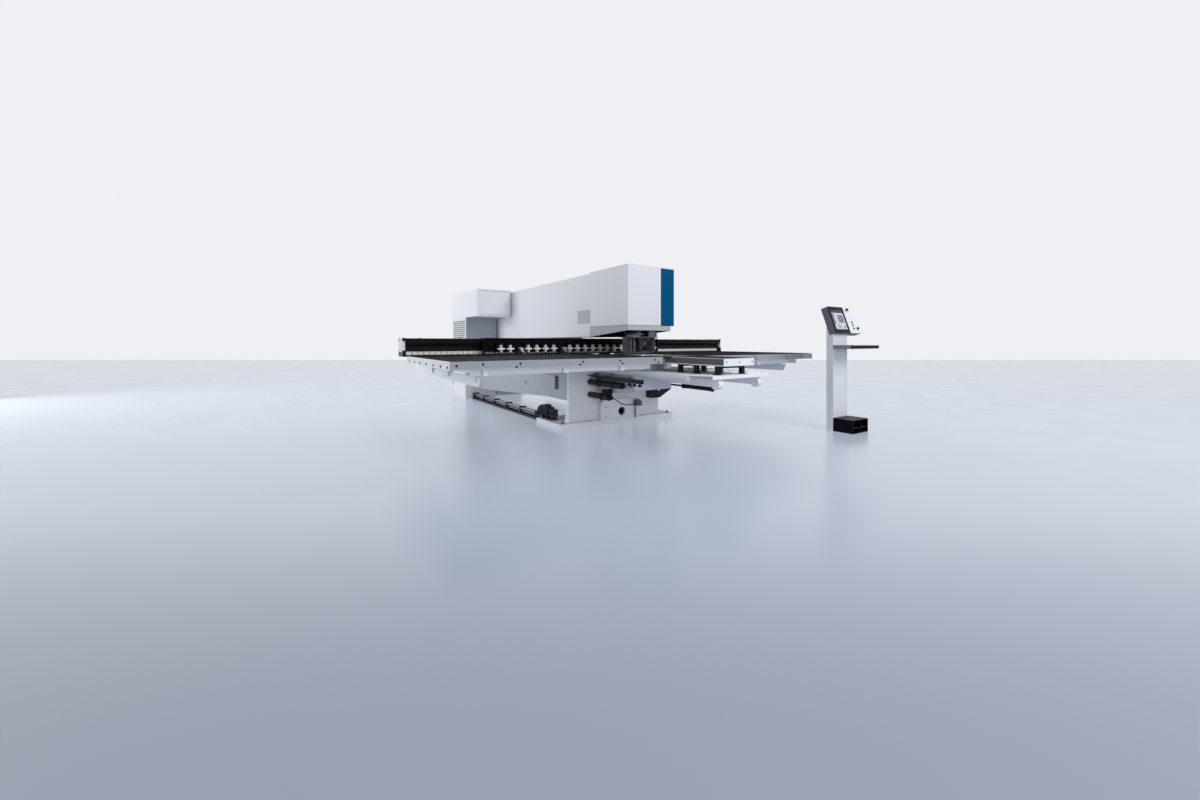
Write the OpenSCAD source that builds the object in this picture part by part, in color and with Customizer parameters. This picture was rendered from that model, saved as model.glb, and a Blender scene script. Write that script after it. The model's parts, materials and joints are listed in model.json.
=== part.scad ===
// Sheet-metal punch press with a single rotating tool station, a travelling
// table, a cross rail with a linear tool magazine and a free-standing console.
// Millimetres. +X is the operator's right, +Y runs back into the machine, +Z is
// up. The origin is on the floor, at the centre of the front foot plate.

/* [Foot] */
// Width of the front foot plate
foot_w = 1910; // [1700:10:2100]
// Depth of the front foot plate, front to back
foot_d = 700; // [600:10:760]
// Thickness of the front foot plate
foot_t = 60; // [40:5:80]
// Width of the front foot's wall
pedestal_w = 1540; // [1400:10:1640]
// Diameter of the lifting hole in the front foot's box
lifting_hole_d = 120; // [80:5:160]

/* [C-frame] */
// Width of the welded C-frame
frame_w = 600; // [560:10:640]
// Rear end of the machine, behind the origin
rear_y = 4340; // [4100:20:4500]
// Distance from the punch axis back to the throat's end
throat_reach = 1990; // [1960:10:2100]
// Height of the throat's floor
throat_floor_z = 850; // [830:5:860]
// Height of the throat's roof
throat_roof_z = 1200; // [1190:5:1230]
// Height of the arm cover's top
arm_top_z = 2070; // [1950:10:2150]

/* [Head] */
// How far the punch axis lies in front of the origin
punch_reach = 790; // [770:5:820]
// Width of the head cover
head_w = 694; // [680:2:720]
// Height of the seam between head cover and skirt
head_seam_z = 1330; // [1310:5:1360]
// How far the head cover stands proud of the arm cover
head_step = 14; // [8:1:20]
// Width of the blue corner casing
accent_w = 216; // [160:4:260]
// Sheet thickness of the covers
cover_t = 4; // [3:0.5:6]

/* [Tables] */
// Overall width of the travelling tables
table_w = 5340; // [5000:20:5500]
// Height of the table surface
table_z = 954; // [950:1:958]
// Height of the table's apron
apron_h = 80; // [70:2:90]
// Y of the travelling tables' front edge
table_front_y = -1544; // [-1600:4:-1500]
// Width of the fixed table strip around the die
strip_w = 560; // [540:4:580]
// Y of the fixed front table's front edge
front_table_y = -2350; // [-2400:10:-2300]
// Width of the fixed front table
front_table_w = 466; // [440:2:480]
// Bare border around each table's brush field
brush_margin = 14; // [8:1:24]

/* [Cross rail] */
// Length of the cross rail
rail_len = 5440; // [5360:20:5600]
// Depth of the cross rail, front to back
rail_d = 250; // [220:5:260]
// Y of the cross rail's front face
rail_front_y = 290; // [280:2:300]
// Height of the cross rail's top
rail_top_z = 1165; // [1150:1:1175]

/* [Magazine] */
// Pitch of the tool stations
station_pitch = 128; // [124:1:132]
// X of the leftmost tool station
first_station_x = -1557; // [-1600:1:-1540]
// Width of one tool cassette
cassette_w = 96; // [80:2:104]
// Depth of the magazine, front to back
magazine_d = 150; // [140:2:160]

/* [Punching unit] */
// Radius of the ram
ram_r = 55; // [45:1:60]
// Outer radius of the C-axis gear ring
gear_r = 120; // [110:1:130]
// Teeth on the C-axis gear ring
gear_teeth = 48; // [36:4:60]
// Radius of the die
die_r = 50; // [40:1:56]
// Clear gap between the die and the stripper
sheet_gap = 26; // [22:1:30]

/* [Parts deck] */
// Width of the parts deck
deck_w = 1122; // [1060:2:1160]
// Height of the parts deck's surface
deck_z = 780; // [770:1:790]
// Height of the two beams under the parts deck
beam_h = 110; // [90:2:116]

/* [Console] */
// X of the console's left side
console_x = 1870; // [1840:5:1920]
// Y of the console post's front face
console_y = -2314; // [-2340:2:-2300]
// Width of the console post
post_w = 330; // [300:5:340]
// Depth of the console post
post_d = 86; // [80:1:100]
// Height of the console post
post_h = 1400; // [1360:5:1440]
// Backward lean of the screen in degrees
screen_lean = 19; // [12:1:24]

/* [Hidden] */
$fn = 48;

white = [0.90, 0.91, 0.93];
light_grey = [0.74, 0.76, 0.80];
mid_grey = [0.52, 0.54, 0.58];
dark_grey = [0.22, 0.22, 0.24];
black = [0.06, 0.06, 0.07];
steel = [0.66, 0.67, 0.69];
blue = [0.04, 0.28, 0.45];
aluminium = [0.80, 0.81, 0.82];

fit = 0.3;                          // gap left between pieces that slide
front_y = -foot_d / 2;              // front edge of the foot plate
punch_y = -punch_reach;             // Y of the punch axis
head_x0 = -head_w / 2 - 27;         // left side of the head cover
head_x1 = head_x0 + head_w;         // right side of the head cover
head_y0 = punch_y - 225;            // front of the head cover
head_y1 = punch_y + 651;            // back of the head cover
head_top_z = arm_top_z + head_step;
arm_w = head_w - 2 * head_step;     // width of the arm cover
arm_x0 = head_x0 + head_step;
throat_y = punch_y + throat_reach;  // back wall of the throat
frame_x0 = -frame_w / 2;
frame_front_y = head_y0 + 30;       // front of the frame's upper arm
lower_arm_front_y = punch_y - 260;
frame_inner_top = arm_top_z - cover_t;
wall_y = front_y + 110;             // front face of the pedestal's wall
wall_t = 40;
pedestal_top_z = 800;
frame_floor_z = 400;                // underside of the lower arm
rear_floor_z = 240;                 // underside of the frame's rear end

// Box between two corners
module block(low, high) {
    translate(low) cube(high - low);
}

// Prism of a YZ outline that runs from x0 to x1
module along_x(x0, x1) {
    translate([x0, 0, 0]) rotate([90, 0, 90]) linear_extrude(x1 - x0) children();
}

// Prism of an XZ outline that runs from y0 to y1
module along_y(y0, y1) {
    translate([0, y1, 0]) rotate([90, 0, 0]) linear_extrude(y1 - y0) children();
}

// Cylinder that runs along Y from y0 to y1
module rod_y(x, z, r, y0, y1) {
    translate([x, y0, z]) rotate([-90, 0, 0]) cylinder(r = r, h = y1 - y0);
}

// Cylinder that runs along X from x0 to x1
module rod_x(y, z, r, x0, x1) {
    translate([x0, y, z]) rotate([0, 90, 0]) cylinder(r = r, h = x1 - x0);
}

// Rectangle with round corners on its chosen top side
module round_top(w, h, r) {
    translate([-w / 2, 0]) square([w, h - r]);
    translate([-w / 2 + r, h - r - 0.01]) square([w - 2 * r, r + 0.01]);
    for (s = [-1, 1]) translate([s * (w / 2 - r), h - r]) circle(r = r);
}

module foot_plate() {
    bolt_r = 16;
    color(white) difference() {
        block([-foot_w / 2, front_y, 0], [foot_w / 2, -front_y, foot_t]);
        for (x = [-1, 1], y = [-1, 1])
            translate([x * (foot_w / 2 - 60), y * (foot_d / 2 - 50), -1])
                cylinder(r = bolt_r, h = foot_t + 2);
    }
}

// Front wall, its box with the lifting hole, and the side gussets
module pedestal() {
    half = pedestal_w / 2;
    box_w = 640;
    box_h = 265;
    box_d = 95;
    gusset_run = 70;
    gusset_top_z = 340;
    rib_t = 20;
    color(white) union() {
        difference() {
            block([-half, wall_y, foot_t], [half, wall_y + wall_t, pedestal_top_z]);
            block([frame_x0, wall_y - 1, frame_floor_z],
                [-frame_x0, wall_y + wall_t + 1, pedestal_top_z + 1]);
        }
        difference() {
            along_y(wall_y - box_d, wall_y) translate([0, foot_t]) round_top(box_w, box_h, 70);
            along_y(wall_y - box_d + 30, wall_y - 0.01)
                translate([0, foot_t]) round_top(box_w - 60, box_h - 30, 55);
            rod_y(30, foot_t + 95, lifting_hole_d / 2, wall_y - box_d - 1, wall_y - box_d + 60);
        }
        for (x = [-half, half - rib_t])
            along_x(x, x + rib_t) polygon([[wall_y + wall_t, foot_t],
                [wall_y + wall_t + gusset_run, foot_t], [wall_y + wall_t, gusset_top_z]]);
        for (x = [-frame_w / 2 - 120, frame_w / 2 + 100])
            along_x(x, x + rib_t) polygon([[wall_y + wall_t, foot_t], [-front_y - 40, foot_t],
                [-front_y - 40, foot_t + 60], [wall_y + wall_t + 60, frame_floor_z - 40],
                [wall_y + wall_t, frame_floor_z - 40]]);
        block([-frame_w / 2, wall_y + wall_t, foot_t],
            [frame_w / 2, -front_y - 60, frame_floor_z]);
    }
    color(white) rear_foot();
}

// Side outline of the welded C-frame, in Y and Z
module c_outline() {
    corner_r = 70;
    roof_z = throat_roof_z;
    floor_z = throat_floor_z;
    difference() {
        polygon([[wall_y, frame_floor_z], [lower_arm_front_y, 520],
            [lower_arm_front_y, floor_z], [frame_front_y, floor_z + 1],
            [frame_front_y, frame_inner_top + head_step],
            [head_y1 - cover_t, frame_inner_top + head_step], [head_y1 - cover_t, frame_inner_top],
            [rear_y - 200, frame_inner_top], [rear_y - 200, rear_floor_z],
            [rear_y - 700, rear_floor_z], [-front_y + 400, frame_floor_z]]);
        translate([frame_front_y - 100, floor_z])
            square([throat_y - frame_front_y + 100 - corner_r, roof_z - floor_z]);
        translate([frame_front_y, floor_z + corner_r])
            square([throat_y - frame_front_y, roof_z - floor_z - 2 * corner_r]);
        for (z = [floor_z + corner_r, roof_z - corner_r])
            translate([throat_y - corner_r, z]) circle(r = corner_r);
        translate([frame_front_y - 100, roof_z - 1])
            square([head_y1 - frame_front_y + 100, head_seam_z - roof_z + 1]);
    }
}

module c_frame() {
    color(light_grey) difference() {
        along_x(frame_x0, -frame_x0) c_outline();
        translate([0, punch_y, head_seam_z - 10]) cylinder(r = ram_r + 45, h = 900);
        translate([0, punch_y, 400]) cylinder(r = die_r - 8, h = 500);
        for (y = [1600, 2700])
            translate([frame_x0 - 1, y, 1640]) rotate([0, 90, 0])
                cylinder(r = 110, h = frame_w + 2);
    }
}

// Folded cover of the upper arm: two sides, a top and a back
module arm_cover() {
    x1 = arm_x0 + arm_w;
    low_z = throat_roof_z - 8;
    flange = 28;
    color(white) union() {
        difference() {
            block([arm_x0, head_y1, low_z], [x1, rear_y, arm_top_z]);
            block([arm_x0 + cover_t, head_y1 - 1, low_z - 1],
                [x1 - cover_t, rear_y - cover_t, arm_top_z - cover_t]);
        }
        for (x = [[arm_x0, arm_x0 + flange], [-frame_x0 + fit, x1]])
            block([x[0], head_y1, low_z], [x[1], rear_y, low_z + cover_t]);
        for (y = [head_y1 + 20, throat_y + 120, rear_y - 420]) {
            block([arm_x0 + cover_t - 0.5, y, 1500], [frame_x0, y + 40, 1560]);
            block([-frame_x0, y, 1500], [x1 - cover_t + 0.5, y + 40, 1560]);
        }
    }
}

module head_cover() {
    color(white) union() {
        difference() {
            block([head_x0, head_y0, head_seam_z], [head_x1, head_y1, head_top_z]);
            block([head_x0 + cover_t, head_y0 + cover_t, head_seam_z - 1],
                [head_x1 - cover_t, head_y1 + 1, head_top_z - cover_t]);
        }
        for (x = [[head_x0, arm_x0 + cover_t], [arm_x0 + arm_w - cover_t, head_x1]])
            block([x[0], head_y1 - cover_t, head_seam_z], [x[1], head_y1, head_top_z - 1]);
        block([head_x0, head_y1 - cover_t, arm_top_z - cover_t],
            [head_x1, head_y1, head_top_z - 1]);
    }
}

// Tapered skirt under the head: deeper at the back, with a dark underside
module head_skirt() {
    front_z = head_seam_z - 63;
    rear_z = throat_roof_z - 8;
    x1 = head_x1;
    plate_t = 5;
    module side_outline() {
        polygon([[head_y0, front_z], [head_y1, rear_z], [head_y1, head_seam_z],
            [head_y0, head_seam_z]]);
    }
    color(light_grey) difference() {
        along_x(head_x0, x1) side_outline();
        along_x(head_x0 + cover_t, x1 - cover_t)
            polygon([[head_y0 + cover_t, front_z + plate_t], [head_y1 + 1, rear_z + plate_t],
                [head_y1 + 1, head_seam_z + 1], [head_y0 + cover_t, head_seam_z + 1]]);
        translate([-190, punch_y - 150, rear_z - 20]) cube([380, 300, 140]);
    }
}

// Tall casing that wraps the right front corner of the head
module accent_casing() {
    x1 = head_x1 + 54;
    y0 = head_y0 - 6;
    top_z = arm_top_z;
    color(blue) difference() {
        union() {
            block([x1 - accent_w, y0, head_seam_z], [x1, head_y0, top_z]);
            block([head_x1, head_y0 - 1, head_seam_z], [x1, head_y1, top_z]);
        }
        block([head_x1, head_y0, head_seam_z - 1],
            [x1 - cover_t, head_y1 - cover_t, top_z - cover_t]);
    }
}

// Side panels of the lower frame, carried by cross plates
module side_panels() {
    panel_x = pedestal_w / 2 - 20;
    t = 10;
    y0 = wall_y + wall_t;
    y1 = 3420;
    top_z = pedestal_top_z;
    grommet = [1149, 491];
    grommet_r = 26;
    color(mid_grey) for (s = [-1, 1]) union() {
        difference() {
            along_x(min(s * panel_x, s * (panel_x + t)), max(s * panel_x, s * (panel_x + t)))
                polygon([[y0, 340], [400, 340], [y1, 192], [y1, top_z], [y0, top_z]]);
            if (s < 0) rod_x(grommet[0], grommet[1], grommet_r - 8, -panel_x - t - 1, 0);
        }
        if (s < 0) difference() {
            rod_x(grommet[0], grommet[1], grommet_r, -panel_x - t - 8, -panel_x);
            rod_x(grommet[0], grommet[1], grommet_r - 8, -panel_x - t - 9, -panel_x + 1);
        }
        for (y = [420, 1700, 2900])
            block([min(s * panel_x, s * frame_w / 2), y, 470],
                [max(s * panel_x, s * frame_w / 2), y + 16, top_z - 40]);
    }
}

// Floor-standing electrical cabinet beside the frame's rear end
module rear_cabinet() {
    cabinet_x0 = -1010;
    cabinet_x1 = -400;
    y0 = 3427;
    h = 1600;
    door_gap = 5;
    color(white) union() {
        difference() {
            block([cabinet_x0, y0, 0], [cabinet_x1, rear_y, h]);
            block([cabinet_x0 + 3, y0 + 3, 3], [cabinet_x1 - 3, rear_y - 3, h - 3]);
            block([cabinet_x0 - 1, y0 + 60, 1110], [cabinet_x0 + 4, rear_y - 60, h - 50]);
            for (y = [y0 + 24, rear_y - 24 - door_gap])
                block([cabinet_x0 - 1, y, 60], [cabinet_x0 + 1, y + door_gap, h - 30]);
        }
        for (z = [420, 760])
            block([cabinet_x1 - 3, y0 + 200, z], [frame_x0, y0 + 520, z + 60]);
    }
}

// Wide box on top of the cabinet, alongside the arm cover
module overhead_box() {
    box_x0 = -1024;
    box_x1 = arm_x0 - head_step;
    y0 = 2714;
    h = 500;
    color(white) difference() {
        block([box_x0, y0, 1600], [box_x1, rear_y + 16, 1600 + h]);
        block([box_x0 + 3, y0 + 3, 1603], [box_x1 - 3, rear_y + 13, 1597 + h]);
    }
}

// Ventilation grille let into the cabinet's left wall
module cabinet_grille() {
    x = -1010;
    y0 = 3487;
    y1 = rear_y - 60;
    z0 = 1110;
    z1 = 1550;
    hole = 26;
    pitch_y = 44;
    pitch_z = 40;
    color(light_grey) difference() {
        block([x - 4, y0 - 12, z0 - 12], [x, y1 + 12, z1 + 12]);
        for (y = [y0 + 10 : pitch_y : y1 - hole], z = [z0 + 10 : pitch_z : z1 - hole])
            block([x - 5, y, z], [x + 1, y + hole, z + hole]);
    }
}

// Terminal box with four cable glands on its front end
module junction_box() {
    x1 = -pedestal_w / 2 + 10;
    t = 44;
    y0 = 95;
    y1 = 430;
    z0 = 470;
    z1 = 660;
    color(light_grey) difference() {
        block([x1 - t, y0, z0], [x1, y1, z1]);
        block([x1 - t - 1, y0 + 6, z0 + 6], [x1 - t + 2, y1 - 6, z1 - 6]);
    }
    color(black) for (z = [z0 + 30 : 44 : z1 - 20]) {
        rod_y(x1 - t / 2, z, 15, y0 - 8, y0);
        rod_y(x1 - t / 2, z, 11, y0 - 24, y0 - 8);
    }
}

tray_x0 = -pedestal_w / 2 - 120;
tray_x1 = -pedestal_w / 2 - 4;

// Low tray along the floor that carries the hydraulic pipes
module pipe_tray() {
    y0 = 470;
    y1 = 3400;
    wall = 3;
    color(mid_grey) difference() {
        block([tray_x0, y0, 0], [tray_x1, y1, 34]);
        block([tray_x0 + wall, y0 - 1, wall], [tray_x1 - wall, y1 + 1, 35]);
    }
    color(dark_grey) for (y = [y0 + 60 : 560 : y1 - 60]) difference() {
        block([tray_x0 + wall, y, wall], [tray_x1 - wall, y + 30, 124]);
        pipe_runs(y - 1, y + 31);
    }
}

// The four parallel pipes between y0 and y1
module pipe_runs(y0, y1) {
    pipe_r = 13;
    for (p = [[20, 98], [56, 98], [92, 98], [38, 58], [76, 58]])
        rod_y(tray_x0 + p[0], p[1], pipe_r, y0, y1);
}

module floor_pipes() {
    color(steel) pipe_runs(540, 3427);
}

// Leg under the frame's rear end
module rear_foot() {
    union() {
        block([-frame_w / 2 - 60, rear_y - 700, 0], [frame_w / 2 + 60, rear_y - 220, 30]);
        block([-frame_w / 2 + 30, rear_y - 660, 30], [frame_w / 2 - 30, rear_y - 260, rear_floor_z]);
    }
}

motor_x = (tray_x0 + tray_x1) / 2 - 12;
motor_z = foot_t + 96;

// Floor-mounted pump drive: finned motor, flange, pump and foot
module drive_motor() {
    motor_r = 72;
    y0 = 130;
    y1 = 410;
    color(black) union() {
        rod_y(motor_x, motor_z, motor_r - 8, y0, y1);
        for (y = [y0 + 20 : 22 : y1 - 20]) rod_y(motor_x, motor_z, motor_r, y, y + 9);
        rod_y(motor_x, motor_z, motor_r, y1 - 14, y1);
        rod_y(motor_x, motor_z, motor_r, y0 - 12, y0 + 2);
        block([motor_x - 60, y0 + 10, foot_t], [motor_x + 60, -front_y - 6, foot_t + 14]);
        for (y = [y0 + 24, -front_y - 46])
            block([motor_x - 50, y, foot_t + 10], [motor_x + 50, y + 30, motor_z - 30]);
        block([motor_x - 44, y0 + 60, motor_z + 40], [motor_x + 44, y0 + 170, motor_z + 92]);
    }
    gear_pump();
}

// Gear pump on the motor's front end with its pipe fittings
module gear_pump() {
    y1 = 118;
    y0 = -20;
    color(dark_grey) union() {
        rod_y(motor_x, motor_z, 50, y1 - 20, y1);
        block([motor_x - 42, y0 + 20, motor_z - 46], [motor_x + 42, y1 - 18, motor_z + 46]);
        rod_y(motor_x, motor_z, 34, y0, y0 + 22);
        translate([motor_x - 16, y0 + 60, motor_z + 40]) cylinder(r = 16, h = 44);
        translate([motor_x + 16, y0 + 100, motor_z + 40]) cylinder(r = 12, h = 30);
        rod_x(y0 + 60, motor_z - 10, 15, motor_x - 70, motor_x - 40);
        block([motor_x - 55, y0 + 40, foot_t], [motor_x + 55, y0 + 110, foot_t + 18]);
        block([motor_x - 30, y0 + 50, foot_t + 16], [motor_x + 30, y0 + 100, motor_z - 40]);
    }
}

// Bladder accumulator with domed front end that starts at the foot's wall
module accumulator(z, len, neck) {
    acc_x = -450;
    acc_r = 40;
    rod_y(acc_x, z, acc_r, wall_y - len + acc_r, wall_y - 30);
    rod_y(acc_x, z, acc_r - 14, wall_y - 31, wall_y);
    translate([acc_x, wall_y - len + acc_r, z]) difference() {
        sphere(r = acc_r);
        translate([-acc_r - 1, 0, -acc_r - 1]) cube(2 * acc_r + 2);
    }
    rod_y(acc_x, z, neck, wall_y - len - 24, wall_y - len + 20);
}

module accumulators() {
    color(black) accumulator(582, 790, 15);
    color(black) accumulator(412, 516, 22);
    accumulator_clamps();
}

// Clamp saddles and bracket plates that hold the accumulators
module accumulator_clamps() {
    acc_x = -450;
    arm_x = frame_x0;
    t = 24;
    color(dark_grey) for (p = [[582, wall_y - 250, 20], [582, wall_y - 600, 20], [412, wall_y - 330, 90]])
        difference() {
            union() {
                rod_y(acc_x, p[0], 47, p[1], p[1] + t);
                block([acc_x, p[1], p[0] - 20], [arm_x, p[1] + t, p[0] + p[2]]);
            }
            rod_y(acc_x, p[0], 40, p[1] - 1, p[1] + t + 1);
        }
}

// Long valve bar beside the lower arm, with three hand knobs and two pipes
module valve_manifold() {
    bar_x0 = -474;
    bar_x1 = -426;
    y0 = -1383;
    y1 = -434;
    z0 = 634;
    z1 = 682;
    color(dark_grey) union() {
        block([bar_x0, y0, z0], [bar_x1, y1, z1]);
        for (y = [lower_arm_front_y + 60, y1 - 100])
            block([bar_x1 - 1, y, z0 + 8], [frame_x0, y + 40, z1 - 8]);
    }
    color(black) for (y = [y0 + 40 : 100 : y0 + 240]) translate([(bar_x0 + bar_x1) / 2, y, 0]) {
        translate([0, 0, z0 - 14]) cylinder(r = 10, h = 14);
        translate([0, 0, z0 - 34]) cylinder(r = 24, h = 20);
    }
    color(black) for (p = [[-14, 14], [14, 20]])
        rod_y((bar_x0 + bar_x1) / 2 + p[0], z1 - p[1], 8, y1, wall_y);
}

// Distribution block in front of the foot's box, with drop pipe and feed line
module lube_block() {
    x0 = 232;
    x1 = 330;
    y0 = wall_y - 185;
    y1 = wall_y - 95;
    z0 = 222;
    z1 = 292;
    pipe_x = x0 - 10;
    color(dark_grey) union() {
        block([x0, y0, z0], [x1 - 20, y1, z1]);
        for (z = [z0 + 18, z1 - 18]) rod_x(y0 + 30, z, 9, x1 - 21, x1);
        translate([x0 + 30, y0 + 30, z1 - 1]) cylinder(r = 10, h = 30);
        translate([x0 + 60, y0 + 30, z1 - 1]) cylinder(r = 10, h = 22);
    }
    color(steel) translate([pipe_x, y0 + 30, foot_t]) cylinder(r = 10, h = 330 - foot_t);
}

// Dark trapezoid plate bracket on the right of the foot's wall
module strut_bracket() {
    t = 14;
    y0 = wall_y - 135;
    color(dark_grey) difference() {
        union() {
            along_y(y0, y0 + t) polygon([[540, 306], [690, 306], [910, 420], [910, 495], [540, 495]]);
            along_y(wall_y - t, wall_y) polygon([[540, 306], [690, 306], [760, 350], [760, 495],
                [540, 495]]);
            block([540, y0, 480], [760, wall_y, 495]);
            block([540, y0, 306], [554, wall_y, 495]);
        }
        for (p = [[600, 360], [680, 420], [840, 462]]) rod_y(p[0], p[1], 17, y0 - 1, y0 + t + 1);
    }
}

strut_x = 600;
strut_z = 528;

// Slim gas strut that runs forward under the parts deck
module gas_strut() {
    y_rear = wall_y;
    y_front = -1475;
    body = 520;
    color(dark_grey) union() {
        rod_y(strut_x, strut_z, 30, y_front, y_front + body);
        rod_y(strut_x, strut_z, 34, y_front + body - 30, y_front + body);
        rod_y(strut_x, strut_z, 34, y_front - 14, y_front + 20);
        for (y = [y_front + 60, y_front + body - 90])
            block([strut_x - 20, y, strut_z], [strut_x + 20, y + 30, deck_z - beam_h - 14]);
    }
    color(steel) rod_y(strut_x, strut_z, 13, y_front + body, y_rear);
}

deck_x0 = 156 - deck_w / 2;
deck_x1 = 156 + deck_w / 2;
deck_front_y = front_table_y + 46;
deck_rear_y = lower_arm_front_y - 20;
deck_rail_w = 40;
rail_inset = 20;                    // side of the deck to its rail

// White pan under the front table that catches finished parts
module parts_deck() {
    pan_t = 8;
    lip = 40;
    chamfer = 120;
    z0 = deck_z - pan_t;
    color(white) union() {
        translate([0, 0, z0]) linear_extrude(pan_t) polygon([[deck_x0 + chamfer, deck_front_y],
            [deck_x1 - chamfer, deck_front_y], [deck_x1, deck_front_y + 240],
            [deck_x1, deck_rear_y], [deck_x0, deck_rear_y], [deck_x0, deck_front_y + 240]]);
        block([deck_x0 + chamfer, deck_front_y, deck_z - lip],
            [deck_x1 - chamfer, deck_front_y + 6, deck_z]);
        for (x = [deck_x0, deck_x1 - 8])
            block([x, deck_front_y + 240, deck_z - lip], [x + 8, deck_rear_y, deck_z]);
        for (x = [[deck_x0, deck_x0 + rail_inset],
                [deck_x0 + rail_inset + deck_rail_w, deck_x1 - rail_inset - deck_rail_w],
                [deck_x1 - rail_inset, deck_x1]])
            block([x[0], deck_rear_y - 8, deck_z - lip], [x[1], deck_rear_y, deck_z]);
    }
}

// Side beams with round end caps, and the rails back to the foot's wall
module deck_beams() {
    beam_w = 54;
    top_z = deck_z - 40;
    low_z = top_z - beam_h;
    cap_r = beam_h / 2;
    color(white) for (x = [-151, 468]) union() {
        block([x - beam_w / 2, deck_front_y + 10 + cap_r, low_z + 24],
            [x + beam_w / 2, deck_rear_y + 20, top_z]);
        rod_x(deck_front_y + 10 + cap_r, low_z + cap_r, cap_r, x - beam_w / 2 - 6,
            x + beam_w / 2 + 6);
        block([x - beam_w / 2 + 10, deck_front_y + 70, top_z - 1], [x + beam_w / 2 - 10,
            deck_rear_y - 20, deck_z - 8]);
    }
    color(light_grey) for (x = [deck_x0 + rail_inset, deck_x1 - rail_inset - deck_rail_w])
        block([x, deck_front_y + 260, deck_z - 62], [x + deck_rail_w, wall_y, deck_z - 8]);
}

// Black posts and cross bars that carry the front table above the deck
module table_posts() {
    leg_w = 44;
    y_front = deck_front_y + 54;
    color(black) union() {
        for (x = [front_table_x0 + 24, front_table_x1 - 70])
            for (y = [y_front, y_front + 300, -1700]) {
                block([x, y, deck_z], [x + leg_w, y + leg_w, table_z - apron_h]);
                block([x - 12, y - 12, deck_z], [x + leg_w + 12, y + leg_w + 12, deck_z + 8]);
            }
        for (y = [y_front, -1700])
            block([front_table_x0 + 24, y, table_z - apron_h - 26],
                [front_table_x1 - 26, y + leg_w, table_z - apron_h]);
    }
}

front_table_x0 = 58 - front_table_w / 2;
front_table_x1 = 58 + front_table_w / 2;

// Fixed table in front of the chute flap, a folded box with a brush surface
module front_table() {
    rear_y1 = -1580;
    t = 6;
    z0 = table_z - apron_h;
    color(white) difference() {
        block([front_table_x0, front_table_y, z0], [front_table_x1, rear_y1, table_z - 4]);
        block([front_table_x0 + t, front_table_y + t, z0 + t],
            [front_table_x1 - t, rear_y1 - t, table_z - 14]);
    }
    color(black) brush_field(front_table_x0, front_table_x1, front_table_y, rear_y1, table_z - 4);
}

// Flat brush plate on a table, with its top at table height
module brush_field(x0, x1, y0, y1, z0) {
    block([x0 + brush_margin, y0 + brush_margin, z0], [x1 - brush_margin, y1 - brush_margin,
        table_z]);
}

strip_x0 = 30 - strip_w / 2;
strip_x1 = 30 + strip_w / 2;
strip_y0 = punch_y - 250;
strip_y1 = punch_y + 490;
seat_r = die_r + 28;
hinge_y = strip_y0 - 18;
hinge_z = table_z - 18;
pin_r = 8;
shaft_clear = 0.05;                 // radial clearance of running shafts
flap_half = 220;
flap_x = 30;                        // middle of the chute flap

// Fixed table around the die, with the flap's hinge lugs and pin
module die_table() {
    lug_w = 20;
    color(light_grey) difference() {
        block([strip_x0, strip_y0, throat_floor_z], [strip_x1, strip_y1, table_z - 4]);
        translate([0, punch_y, throat_floor_z - 1]) cylinder(r = seat_r, h = apron_h + 100);
        block([strip_x0 + 60, punch_y + 140, throat_floor_z - 1],
            [strip_x1 - 60, strip_y1 - 30, table_z - 16]);
    }
    color(black) difference() {
        brush_field(strip_x0, strip_x1, strip_y0, strip_y1, table_z - 4);
        translate([0, punch_y, table_z - 5]) cylinder(r = seat_r + 6, h = 6);
    }
    color(steel) for (x = [flap_x - 130, flap_x + 130]) difference() {
        union() {
            block([x - lug_w / 2, hinge_y, hinge_z - 14], [x + lug_w / 2, strip_y0, hinge_z + 12]);
            rod_x(hinge_y, hinge_z, 14, x - lug_w / 2, x + lug_w / 2);
        }
        rod_x(hinge_y, hinge_z, pin_r, x - lug_w, x + lug_w);
    }
    color(steel) rod_x(hinge_y, hinge_z, pin_r, flap_x - 146, flap_x + 146);
}

// Drop flap in front of the die: its front edge swings down to pass a part
module chute_flap() {
    x0 = flap_x - flap_half;
    x1 = flap_x + flap_half;
    y0 = front_table_y + 790;
    y1 = hinge_y - 18;
    color(light_grey) difference() {
        union() {
            block([x0, y0, table_z - 30], [x1, y1, table_z - 4]);
            rod_x(hinge_y, hinge_z, 14, flap_x - 119, flap_x + 119);
            block([flap_x - 119, y1 - 1, hinge_z - 10], [flap_x + 119, hinge_y, hinge_z + 10]);
        }
        rod_x(hinge_y, hinge_z, pin_r + shaft_clear, flap_x - 150, flap_x + 150);
    }
    color(black) brush_field(x0, x1, y0, y1, table_z - 4);
}

y_rail_w = 30;
y_rail_x = 240;
y_rail_h = 30;

module y_rails() {
    color(steel) for (s = [-1, 1])
        block([s * y_rail_x - y_rail_w / 2, strip_y1 + 5, throat_floor_z],
            [s * y_rail_x + y_rail_w / 2, throat_y - 72, throat_floor_z + y_rail_h]);
}

stripper_z = table_z + sheet_gap;   // underside of the stripper
neck_low_z = 1188;
hub_r = ram_r + 30;
gear_z0 = neck_low_z - 56;
gear_z1 = neck_low_z - 20;
jaw_low_z = stripper_z + 20;

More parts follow.
